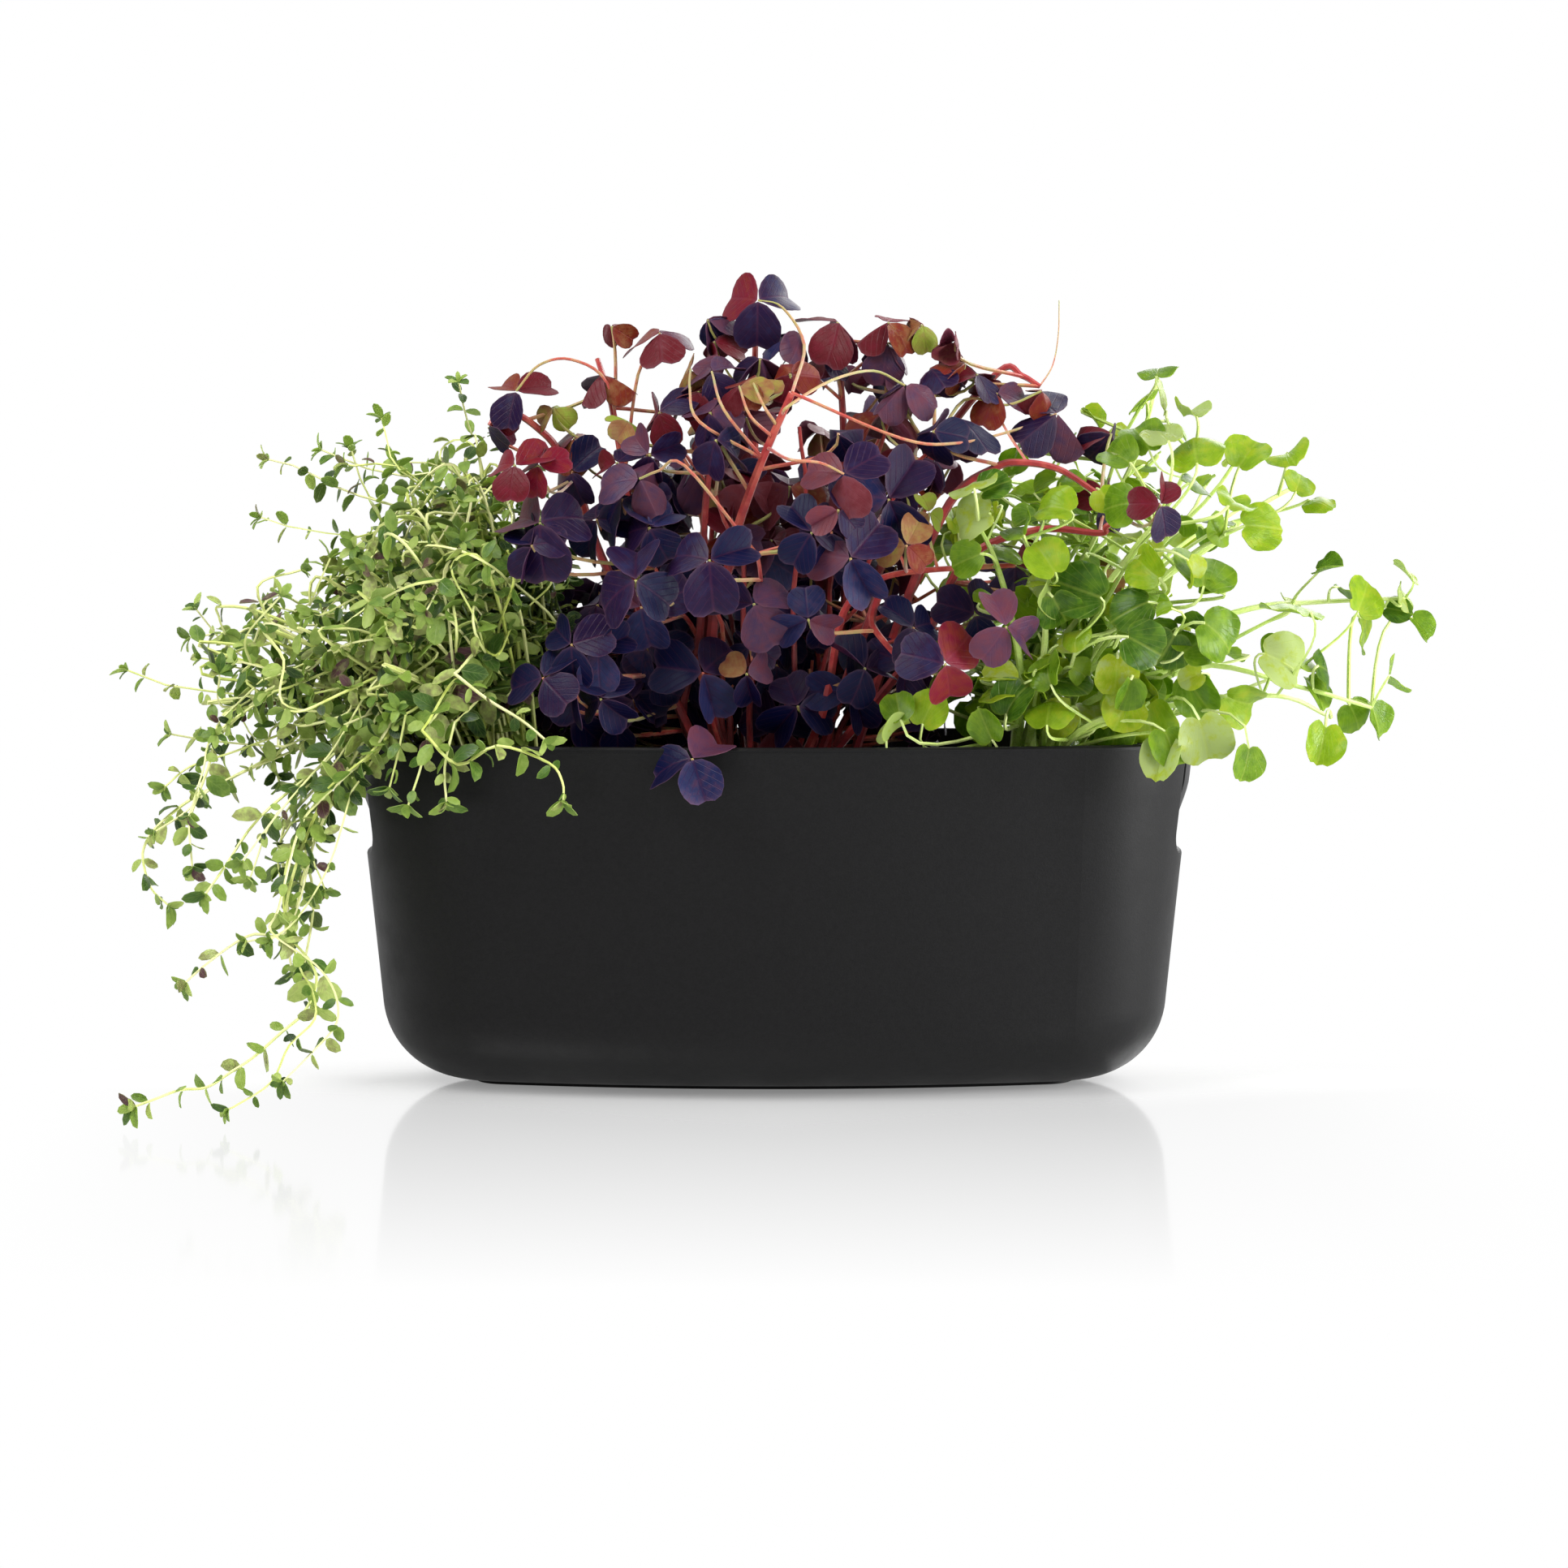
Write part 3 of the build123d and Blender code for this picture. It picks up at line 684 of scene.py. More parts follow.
def leaf_veins_group():
    tree, nodes, enter, leave = new_group(
        "leaf_veins",
        (("Place", VECTOR), ("Count", FLOAT), ("Slant", FLOAT), ("Fan", FLOAT), ("Width", FLOAT)),
        (("Veins", FLOAT), ("Edge", FLOAT)),
    )
    parts = nodes.split(enter["Place"])
    across = nodes.sum("ABSOLUTE", parts["X"])
    along = parts["Y"]

    def line(value):
        """A thin line wherever a value passes a whole number."""
        near = nodes.sum("PINGPONG", value, 0.5)
        return nodes.sum("SUBTRACT", 1.0, nodes.fade(near, 0.0, enter["Width"]))

    side = nodes.sum("SUBTRACT", along, nodes.times(across, enter["Slant"]))
    turn = nodes.sum("ARCTAN2", across, nodes.plus(along, 0.02))
    fan_count = nodes.times(enter["Count"], FAN_SHARE)
    net = nodes.mix(enter["Fan"], line(nodes.times(side, enter["Count"])), line(nodes.times(turn, fan_count)))
    midrib = nodes.sum("SUBTRACT", 1.0, nodes.fade(across, 0.0, MIDRIB_WIDTH))
    nodes.put(nodes.sum("MAXIMUM", midrib, nodes.times(net, 0.7)), leave["Veins"])
    nodes.put(nodes.sum("POWER", parts["Z"], 4.0), leave["Edge"])
    return tree


def living_mottle_group():
    tree, nodes, enter, leave = new_group(
        "living_mottle",
        (("Scale", FLOAT), ("Chance", FLOAT)),
        (("Clouds", FLOAT), ("Cells", FLOAT)),
    )
    place = nodes.add("ShaderNodeTexCoord").outputs["Object"]
    shifted = nodes.add("ShaderNodeVectorMath", operation="ADD")
    nodes.put_all((place, enter["Chance"]), shifted.inputs)
    nodes.put(nodes.noise(shifted.outputs[0], enter["Scale"], 4.0, 0.6), leave["Clouds"])
    nodes.put(nodes.noise(place, nodes.times(enter["Scale"], CELLS_FINER), 2.0), leave["Cells"])
    return tree


leaf_veins = leaf_veins_group()
living_mottle = living_mottle_group()
print("groups:", leaf_veins.name, living_mottle.name)

# %% [markdown]
# Leaf and stem finishes. A leaf takes its colour from its tint, then veins, underside and edge are laid
# over it, and a share of the light shines through. A stem changes its shade towards its tip.

# %% Leaf and stem finishes
STEM_MOTTLE = 160.0
STEM_SHIFT, TIP_SHIFT = 0.2, 0.35


def mood_sockets(nodes):
    """The tint, the chance value and the upper-side mask of a leaf, and its places."""
    mood = nodes.add("ShaderNodeAttribute", attribute_name="leaf_mood").outputs["Vector"]
    place = nodes.add("ShaderNodeAttribute", attribute_name="leaf_place").outputs["Vector"]
    return *nodes.split(mood), place


def leaf_finish(name, stops, net, veins, edge, under, mottle, dull, clear, shine):
    """A leaf material. The net is the veins' count, slant, fan and width; veins, edge and underside are a
    colour and its share; mottle is a scale and a share."""
    material, nodes, surface = new_material(name)
    tint, chance, upper, place = mood_sockets(nodes)
    tissue = nodes.group(living_mottle, Scale=mottle[0], Chance=chance)
    lines = nodes.group(leaf_veins, Place=place, **dict(zip(("Count", "Slant", "Fan", "Width"), net)))
    shift = nodes.fade(tissue["Clouds"], 0.25, 0.75, -mottle[1], mottle[1])
    colour = nodes.ramp(nodes.plus(tint, shift, clamp=True), stops)
    lower = nodes.sum("SUBTRACT", 1.0, upper)
    for mask, (shade, share) in ((lines["Veins"], veins), (lower, under), (lines["Edge"], edge)):
        colour = nodes.blend(nodes.times(mask, share), colour, shade)
    relief = nodes.weighed((lines["Veins"], -0.6), (tissue["Cells"], 0.5))
    shader = nodes.first(
        "ShaderNodeBsdfPrincipled", Base_Color=colour, Specular_IOR_Level=shine,
        Roughness=nodes.fade(tissue["Clouds"], 0.25, 0.75, dull - 0.08, dull + 0.1),
        Normal=nodes.bump(relief, 0.5, 0.0004))
    through = nodes.first("ShaderNodeBsdfTranslucent", Color=colour)
    nodes.put(nodes.mix_shaders(clear, shader, through), surface)
    return material


def stem_finish(name, stops, dull, fuzz=0.0):
    """A stem material: colours by tint, by soft clouds and along the stem, and a sheen from fine hairs."""
    material, nodes, surface = new_material(name)
    tint, chance, _, place = mood_sockets(nodes)
    tissue = nodes.group(living_mottle, Scale=STEM_MOTTLE, Chance=chance)
    shift = nodes.fade(tissue["Clouds"], 0.25, 0.75, -STEM_SHIFT, STEM_SHIFT)
    shift = nodes.plus(shift, nodes.times(nodes.split(place)["Y"], TIP_SHIFT))
    nodes.put(nodes.first(
        "ShaderNodeBsdfPrincipled", Base_Color=nodes.ramp(nodes.plus(tint, shift, clamp=True), stops),
        Roughness=nodes.fade(tissue["Cells"], 0.3, 0.7, dull - 0.08, dull + 0.08), Sheen_Weight=fuzz,
        Normal=nodes.bump(tissue["Cells"], 0.4, 0.0002)), surface)
    return material


print("finishes ready")

# %% [markdown]
# Herb colours. A leaf's tint is a place on a row of shades: navy through plum and wine red to tan and
# yellow-green for the sorrel, mid to milky green for the cress, deep green to cream and a rare purple for
# the thyme. The letters name the shades in the lists of leaves further down. The sorrel's navy is in part
# painted shade deep in the plant, and the red shades of its head in part painted light shining through.

# %% Herb colours
SORREL_SHADES = {
    "n": (0.0, 10, 14, 56), "p": (0.12, 38, 16, 54), "s": (0.24, 36, 42, 84), "m": (0.36, 92, 54, 76),
    "r": (0.48, 116, 52, 60), "b": (0.58, 98, 18, 28), "g": (0.68, 118, 14, 40), "o": (0.78, 128, 48, 26),
    "t": (0.88, 156, 114, 70), "y": (1.0, 150, 168, 56),
}
CRESS_SHADES = {
    "d": (0.0, 54, 92, 24), "k": (0.2, 86, 128, 34), "m": (0.45, 128, 166, 38), "b": (0.7, 162, 194, 38),
    "y": (0.85, 188, 202, 48), "p": (1.0, 192, 208, 132),
}
THYME_SHADES = (
    (0.0, 34, 66, 26), (0.3, 86, 126, 46), (0.55, 158, 188, 80), (0.8, 206, 222, 130), (1.0, 108, 66, 78),
)
SORREL_STEM = palette((0.0, 120, 18, 30), (0.35, 174, 44, 44), (0.6, 194, 90, 72), (0.8, 190, 146, 98),
                      (1.0, 164, 160, 88))
CRESS_STEM = palette((0.0, 134, 168, 62), (0.5, 186, 212, 104), (1.0, 214, 226, 152))
THYME_STEM = palette((0.0, 72, 90, 36), (0.25, 198, 212, 98), (0.6, 228, 236, 146), (1.0, 236, 236, 172))

sorrel_finishes = (
    leaf_finish("sorrel_leaf", palette(*SORREL_SHADES.values()), net=(5.0, 0.6, 0.0, 0.1),
                veins=(screen(124, 56, 76), 0.14), edge=(screen(148, 106, 122), 0.22),
                under=(screen(98, 50, 82), 0.35), mottle=(220.0, 0.05), dull=0.42, clear=0.2, shine=0.2),
    stem_finish("sorrel_stem", SORREL_STEM, dull=0.4, fuzz=0.35),
)
cress_finishes = (
    leaf_finish("cress_leaf", palette(*CRESS_SHADES.values()), net=(7.0, 0.5, 1.0, 0.08),
                veins=(screen(206, 220, 100), 0.3), edge=(screen(200, 216, 84), 0.25),
                under=(screen(150, 184, 58), 0.35), mottle=(190.0, 0.14), dull=0.3, clear=0.5, shine=0.35),
    stem_finish("cress_stem", CRESS_STEM, dull=0.32),
)
thyme_finishes = (
    leaf_finish("thyme_leaf", palette(*THYME_SHADES), net=(5.0, 0.45, 0.0, 0.12),
                veins=(screen(186, 204, 110), 0.22), edge=(screen(186, 206, 108), 0.2),
                under=(screen(164, 188, 96), 0.3), mottle=(300.0, 0.08), dull=0.36, clear=0.4, shine=0.5),
    stem_finish("thyme_stem", THYME_STEM, dull=0.4),
)
print("materials:", [finish.name for finish in sorrel_finishes + cress_finishes + thyme_finishes])

# %% [markdown]
# Where a plant is. A herb's crown is thought of as an egg: its middle and its half sizes are read from
# the photograph, and the front of the egg tells how far towards the camera a leaf at some pixel lies.
# Each plant is rooted in its own pot, so every stem starts in the compost there.

# %% Crowns
RIM_PIXEL = 906
BEFORE_RIM = -78.0
SOIL_MARGIN = 7.0
ROOT_DEPTH = 2.0


class Crown:
    """The egg that a herb's leaves fill, given by its middle and half sizes in photo pixels and mm."""

    def __init__(self, herb, middle, half, depth, half_depth):
        low, high = (np.array(corner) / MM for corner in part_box(herb + "_root_ball"))
        self.soil = np.array(((low[0] + high[0]) / 2, (low[1] + high[1]) / 2, high[2]))
        self.soil_reach = (high[0] - low[0]) / 2 - SOIL_MARGIN
        self.pixel_middle, self.pixel_half = np.array(middle), np.array(half)
        self.depth, self.half_depth = depth, half_depth
        self.middle = spot(*middle, depth)
        scale = pixel_size(depth)
        self.half = np.array((half[0] * scale, half_depth, half[1] * scale))

    def front(self, px, py, reach=1.0):
        """The depth of the crown's front at a pixel; a leaf seen below the rim hangs in front of it."""
        if py > RIM_PIXEL:
            return BEFORE_RIM
        off = (np.array((px, py)) - self.pixel_middle) / self.pixel_half
        return self.depth - self.half_depth * reach * math.sqrt(max(1 - np.dot(off, off), 0.02))

    def outward(self, place):
        """The direction out of the crown at a place; leaves low down turn up to the light."""
        out = (place - self.middle) / self.half**2 * self.half.mean()
        return unit(out * (1, 1, 1 if out[2] > 0 else 0.2))

    def inside(self, rng, low=0.0, high=1.0):
        """A seeded random place in a shell of the crown, from low to high of its size."""
        return self.middle + self.half * unit(rng.normal(size=3)) * rng.uniform(low**3, high**3) ** (1 / 3)

    def root(self, towards, rng):
        """A place in the compost, on the side of the pot that a stem leans to."""
        lean = unit((towards - self.soil) * (1, 1, 0)) * self.soil_reach * rng.uniform(0.2, 0.9)
        swing = rng.normal(size=3) * (5.0, 5.0, 0.0)
        root = self.soil + lean + swing
        limit = self.soil_reach / max(np.abs((root - self.soil)[:2]).max(), self.soil_reach)
        return self.soil + (root - self.soil) * (limit, limit, 1) - UP * ROOT_DEPTH


def arch(root, end, rise=0.55):
    """A path that leaves the soil upwards and bends over to its end."""
    middle = root + (end - root) * (0.32, 0.32, rise)
    return smooth_path((root, middle, end), 7)


def wander(path, rng, amount):
    """Bends a path gently from side to side, more towards its tip."""
    share = np.linspace(0, 1, len(path))
    for waves in (0.9, 2.1):
        swing = unit(rng.normal(size=3)) * amount / waves
        path = path + np.outer(np.sin(2 * math.pi * waves * share + rng.uniform(0, 6.28)) * share, swing)
    return path


def spots(pixels, depths):
    """The points of some photo pixels, at depths that go evenly from the first to the last."""
    return np.array([spot(px, py, y) for (px, py), y in zip(pixels, np.linspace(*depths, len(pixels)))])


def listed(crown, rng, groups):
    """Each listed leaf in turn: its pixel row, its place, its size in mm, its roll and its shades."""
    for rows, near in groups:
        for px, py, size, roll, letters in rows:
            depth = near or crown.front(px, py, rng.uniform(0.85, 1.0))
            yield py, spot(px, py, depth), size * pixel_size(depth), roll, letters


def traced(crown, rng, pixels, depths):
    """A stem path through photo pixels, rooted in the compost."""
    points = spots(pixels, depths)
    return smooth_path(np.vstack((crown.root(points[0], rng), points)), 6)


print("crowns ready")

# %% [markdown]
# The purple wood sorrel. Each leaf is three heart-shaped leaflets, 10 to 20 mm long, that meet at the
# tip of a thin stalk; the stalks leave stout coral-red stems. The leaves that the eye settles on are
# listed with the place of their joint in the photograph, their size, the way the first leaflet
# points (clockwise from up) and the shade of each leaflet. Some stand on long arched stalks, listed by
# the pixels that the stalk passes. A stem is listed by its pixels, two depths and a thickness.

# %% Sorrel leaves seen in the photograph
SORREL_LEAVES = (
    (872, 394, 40, 30, "msm"), (754, 402, 28, 0, "bob"), (741, 462, 42, 330, "pob"),
    (682, 503, 26, 0, "yyt"), (707, 540, 38, 60, "oob"), (775, 520, 28, 0, "yyt"),
    (602, 526, 34, 270, "bbp"), (705, 581, 40, 40, "npm"), (767, 615, 48, 100, "sns"),
    (861, 482, 34, 200, "bob"), (812, 508, 38, 280, "bpb"), (937, 442, 42, 20, "mmp"),
    (974, 461, 38, 80, "obo"), (984, 410, 44, 350, "ssm"), (880, 421, 38, 200, "gbb"),
    (882, 542, 46, 320, "pnp"), (875, 508, 40, 60, "mpm"), (790, 748, 50, 180, "smp"),
    (929, 744, 52, 40, "mmp"), (1048, 688, 52, 280, "mps"), (996, 763, 36, 0, "sms"),
    (866, 829, 52, 290, "nps"), (920, 830, 32, 300, "tmn"), (853, 935, 50, 280, "nms"),
    (958, 896, 56, 180, "rpn"), (983, 870, 44, 100, "nnp"), (1050, 852, 46, 150, "nsn"),
    (804, 846, 38, 220, "npn"), (1000, 656, 42, 330, "npn"), (1025, 655, 40, 60, "pnp"),
    (1114, 819, 44, 300, "pmp"), (1202, 757, 44, 290, "ppn"), (1251, 696, 46, 310, "pbp"),
    (1126, 773, 42, 80, "npn"), (1066, 823, 44, 200, "nnp"), (1117, 672, 34, 20, "tot"),
    (1032, 397, 46, 340, "bgb"), (1095, 397, 38, 20, "gob"), (1136, 400, 30, 40, "oyt"),
    (1177, 421, 30, 30, "bob"), (1093, 424, 42, 180, "mpm"), (1147, 455, 42, 60, "ppn"),
    (1189, 448, 38, 330, "obo"), (1204, 461, 36, 60, "bpb"), (1228, 484, 38, 90, "mob"),
    (1183, 516, 50, 20, "ppn"), (1150, 531, 42, 200, "npn"), (1369, 534, 44, 220, "pbp"),
    (1033, 534, 40, 300, "npn"), (1095, 615, 58, 45, "pns"), (1033, 628, 32, 250, "rpp"),
    (1145, 632, 26, 0, "yyt"), (1370, 700, 26, 320, "tyt"), (760, 570, 34, 150, "pbp"),
    (800, 560, 34, 200, "pmp"), (735, 640, 44, 200, "npn"), (800, 650, 42, 160, "nps"),
    (1364, 618, 30, 60, "bpb"),
)
SORREL_NEAR = (
    (1165, 818, 48, 45, "ggp"), (1240, 772, 48, 340, "mmm"), (783, 715, 54, 0, "pnp"),
    (874, 690, 52, 60, "npp"), (1430, 622, 34, 30, "bpb"),
)
# The navy leaves low on the left are in part painted shade between the sorrel and the thyme.
SORREL_LEFT = (
    (634, 573, 36, 300, "ggb"), (663, 573, 36, 60, "ggb"), (665, 644, 60, 300, "mpp"),
    (655, 672, 40, 200, "pnp"), (704, 794, 42, 300, "npn"), (669, 835, 42, 250, "nnp"),
    (737, 799, 42, 60, "nsn"), (705, 843, 42, 190, "npn"), (740, 861, 42, 140, "nnn"),
)
SORREL_ARCHED = (
    (((745, 545), (748, 472), (704, 443), (664, 450), (636, 482)), 38, 300, "obp"),
    (((765, 551), (786, 462), (808, 436), (813, 410)), 45, 270, "omb"),
    (((952, 530), (972, 500), (1024, 469), (1076, 457), (1115, 475)), 44, 100, "mmp"),
    (((976, 484), (991, 425), (964, 379), (934, 370)), 52, 300, "gpp"),
    (((1067, 520), (1110, 540), (1179, 546), (1250, 530), (1302, 510)), 56, 5, "pmp"),
    (((1150, 500), (1188, 493), (1240, 499), (1283, 482)), 32, 150, "obo"),
    (((880, 570), (862, 520), (850, 480), (851, 455)), 34, 300, "tmt"),
    (((905, 575), (892, 505), (877, 458)), 40, 40, "mpm"),
    (((940, 555), (924, 512), (911, 476)), 34, 330, "otb"),
    (((950, 540), (941, 500), (927, 469)), 30, 60, "tot"),
    (((872, 610), (844, 574), (812, 580), (788, 590)), 46, 270, "mmm"),
    (((938, 580), (972, 566), (1010, 570), (1040, 584)), 46, 285, "rpr"),
)
SORREL_STEMS = (
    (((845, 900), (862, 780), (868, 640), (876, 560), (882, 490)), (-10, -40), 3.9),
    (((880, 900), (880, 760), (905, 680), (911, 644), (940, 565), (976, 484)), (-16, -62), 5.4),
    (((800, 800), (741, 686), (712, 602), (686, 552), (663, 528), (636, 510), (614, 510), (603, 524)),
     (0, -12), 3.9),
    (((790, 760), (775, 620), (765, 560), (752, 492), (736, 442)), (-16, 0), 3.9),
    (((1012, 883), (1032, 781), (1044, 746), (1067, 722), (1117, 705), (1251, 696)), (-40, -46), 3.9),
    (((1080, 740), (1075, 770), (1114, 819)), (-44, -62), 3.9),
    (((1110, 760), (1170, 620), (1225, 577), (1259, 570), (1304, 578), (1343, 602), (1364, 618)),
     (-22, -34), 3.9),
    (((1130, 800), (1190, 690), (1278, 653), (1356, 657), (1367, 646), (1430, 622)), (-26, -40), 3.9),
    (((1060, 760), (1150, 560), (1231, 458), (1259, 463), (1281, 476)), (6, 0), 3.9),
    (((1040, 760), (1040, 560), (1036, 470), (1032, 410)), (10, 4), 3.9),
    (((930, 760), (930, 560), (930, 460), (932, 385)), (12, 8), 3.9),
)
DRY_TENDRIL = (((1281, 476), (1297, 450), (1304, 412), (1305, 370)), (0, 4))
print("sorrel leaves listed:", sum(map(len, (SORREL_LEAVES, SORREL_NEAR, SORREL_LEFT, SORREL_ARCHED))))

# %% [markdown]
# One sorrel leaf. The leaflets hang back from the leaf's face by some droop and are folded along their
# midribs, open in the body of the plant, like tents in its head. A habit holds the range of the droop,
# the range of the fold and how loosely the leaf looks to the camera.

# %% Sorrel leaf
OPEN_FOLDS, TENT_FOLDS = (-0.15, 0.65), (-0.8, 0.4)
BODY_HABIT = ((0.1, 0.5), OPEN_FOLDS, 0.2)
HEAD_HABIT = ((0.3, 1.0), TENT_FOLDS, 0.35)
ARCHED_HABIT = ((0.15, 0.55), TENT_FOLDS, 0.2)
LISTED_SCALE = 1.2
SORREL_STALK = 1.35


def heart(u):
    """Lower and upper edge of a heart that starts at a point and ends in a notch between two lobes."""
    off = np.abs(u)
    lobe = 0.58 + 0.42 * np.sqrt(np.maximum(1 - ((off - 0.42) / 0.58) ** 2, 0))
    notch = 1 - 0.07 * np.maximum(1 - off / 0.42, 0) ** 1.5
    base = 0.28 * off**1.6 + 0.28 * (1 - np.sqrt(np.maximum(1 - off**2, 0)))
    return base, np.where(off >= 0.42, lobe, notch)


HEART = LeafShape(9, 6, heart)
SMALL_HEART = LeafShape(7, 4, heart)


def sorrel_leaf(growth, rng, shape, joint, face, size, roll, letters, droop, folds):
    """Three leaflets round a joint, which hang back a little from the leaf's face."""
    face, upright, right = leaf_plane(face)
    for part, letter in enumerate(letters):
        angle = math.radians(roll + 120 * part + rng.uniform(-10, 10))
        way = turned(upright, right, angle)
        hang = droop * rng.uniform(0.6, 1.3)
        tip, show = turned(way, face, -hang), turned(face, way, hang)
        length = size * rng.uniform(0.9, 1.1)
        tint = SORREL_SHADES[letter][0]
        add_leaf(growth, shape, joint + way * 0.6, tip, show + rng.normal(size=3) * 0.14, length,
                 length * rng.uniform(1.0, 1.14), tint + rng.uniform(-0.03, 0.03), rng.random(),
                 fold=rng.uniform(*folds), curl=rng.uniform(0.15, 0.9), wave=0.02)


def listed_sorrel_leaf(growth, rng, crown, joint, habit, size, roll, letters):
    """A leaf that the photograph shows: it looks to the camera, and droops and folds by a habit."""
    droops, folds, loose = habit
    face = crown.outward(joint) * 0.4 + TOWARDS_CAMERA * 0.6 + UP * 0.35 + rng.normal(size=3) * loose
    droop = rng.uniform(*droops)
    sorrel_leaf(growth, rng, HEART, joint, face, size * LISTED_SCALE, roll, letters, droop, folds)
    return face


def sorrel_stalk(stems, rng, joint, face, usual):
    """The stalk of a leaf; the long ones of the head are tan, the short ones redder."""
    tint = rng.uniform(0.5, 0.85) if usual else rng.uniform(0.35, 0.8)
    stems.stalk(joint, unit(face) * 0.5 + UP * 0.8, SORREL_STALK, tint, rng.random(), usual)


print("points of a sorrel leaflet:", 2 * len(HEART.u), "or", 2 * len(SMALL_HEART.u))

# %% [markdown]
# Growing the sorrel: stems first, then the listed leaves, and last a seeded filling in eggs of its own:
# the head of the plant, whose red shades are in part painted light shining through it, and the navy
# leaves low down and on its left, in part painted shade, dark leaves put where the plant shades itself.

# %% Sorrel plant
SORREL_SEED = 11
SORREL_CROWN = ((975, 665), (285, 250), 0.0, 82.0)
SORREL_INNER_STEMS = 24
SORREL_HEAD = 560
HEAD_STALK = 34.0
SORREL_GROUPS = ((SORREL_LEAVES, None), (SORREL_NEAR, -84.0), (SORREL_LEFT, -64.0))
# Painted light and shade in part: the head's egg holds most of the red shades, the low eggs mostly navy.
SORREL_FILL = (
    (((1000, 590), (215, 160), 14.0, 56.0), 30.0, 58, "npsmmrbbot"),
    (((905, 795), (265, 122), 12.0, 54.0), 0.0, 98, "nnnnnps"),
    (((790, 655), (85, 110), 12.0, 42.0), 20.0, 12, "nnpps"),
    (((780, 868), (130, 44), 8.0, 46.0), 0.0, 44, "nnnnp"),
    (((1090, 872), (80, 36), 8.0, 46.0), 0.0, 16, "nnnp"),
)


def sorrel_stems(stems, rng, crown):
    """The stems seen in the photograph, the dry tendril and the seeded inner stems."""
    for pixels, depths, thick in SORREL_STEMS:
        path = traced(crown, rng, pixels, depths)
        stems.add(path, thick, thick * 0.52, rng.uniform(0.05, 0.25), rng.random())
    add_stem(stems.growth, smooth_path(spots(*DRY_TENDRIL)), 0.7, 0.4, STALK_SIDES, 0.7, 0.5)
    for _ in range(SORREL_INNER_STEMS):
        end = crown.inside(rng, 0.5, 0.85)
        path = wander(arch(crown.root(end, rng), end), rng, 9.0)
        stems.add(path, rng.uniform(2.4, 3.4), 1.4, rng.uniform(0.0, 0.3), rng.random())


def seen_sorrel(growth, stems, rng, crown):
    """The leaves that the photograph shows, on short or long stalks, and those on arched stalks."""
    for py, joint, size, roll, letters in listed(crown, rng, SORREL_GROUPS):
        habit, reach = (HEAD_HABIT, HEAD_STALK) if py < SORREL_HEAD else (BODY_HABIT, 0.0)
        face = listed_sorrel_leaf(growth, rng, crown, joint, habit, size, roll, letters)
        sorrel_stalk(stems, rng, joint, face, reach)
    for pixels, radius, roll, letters in SORREL_ARCHED:
        points = [spot(px, py, crown.front(px, py, 1.05)) for px, py in pixels]
        path = smooth_path([stems.nearest(points[0])] + points[1:])
        add_stem(growth, path, 1.4, 0.9, STEM_SIDES, rng.uniform(0.5, 0.8), rng.random())
        size = radius * pixel_size(path[-1][1])
        listed_sorrel_leaf(growth, rng, crown, path[-1], ARCHED_HABIT, size, roll, letters)


def fill_sorrel(growth, stems, rng):
    """Seeded leaves in the eggs of the filling."""
    for egg, usual, count, letters in SORREL_FILL:
        crown = Crown("sorrel", *egg)
        for _ in range(count):
            joint = crown.inside(rng, 0.0, 0.97)
            joint[2] = max(joint[2], crown.soil[2] + rng.uniform(14, 30))
            face = crown.outward(joint) + UP * 0.5 + rng.normal(size=3) * 0.4
            picked = rng.choice(list(letters), 3)
            sorrel_leaf(growth, rng, SMALL_HEART, joint, face, rng.uniform(12, 18), rng.uniform(0, 360),
                        picked, rng.uniform(0.2, 0.9), OPEN_FOLDS)
            sorrel_stalk(stems, rng, joint, face, usual)


def grow_sorrel():
    growth = Growth()
    stems = Stems(growth)
    rng = np.random.default_rng(SORREL_SEED)
    crown = Crown("sorrel", *SORREL_CROWN)
    sorrel_stems(stems, rng, crown)
    seen_sorrel(growth, stems, rng, crown)
    fill_sorrel(growth, stems, rng)
    growth.make("sorrel_plant", "sorrel", "sorrel_purple", "sorrel_sprigs", sorrel_finishes)


grow_sorrel()
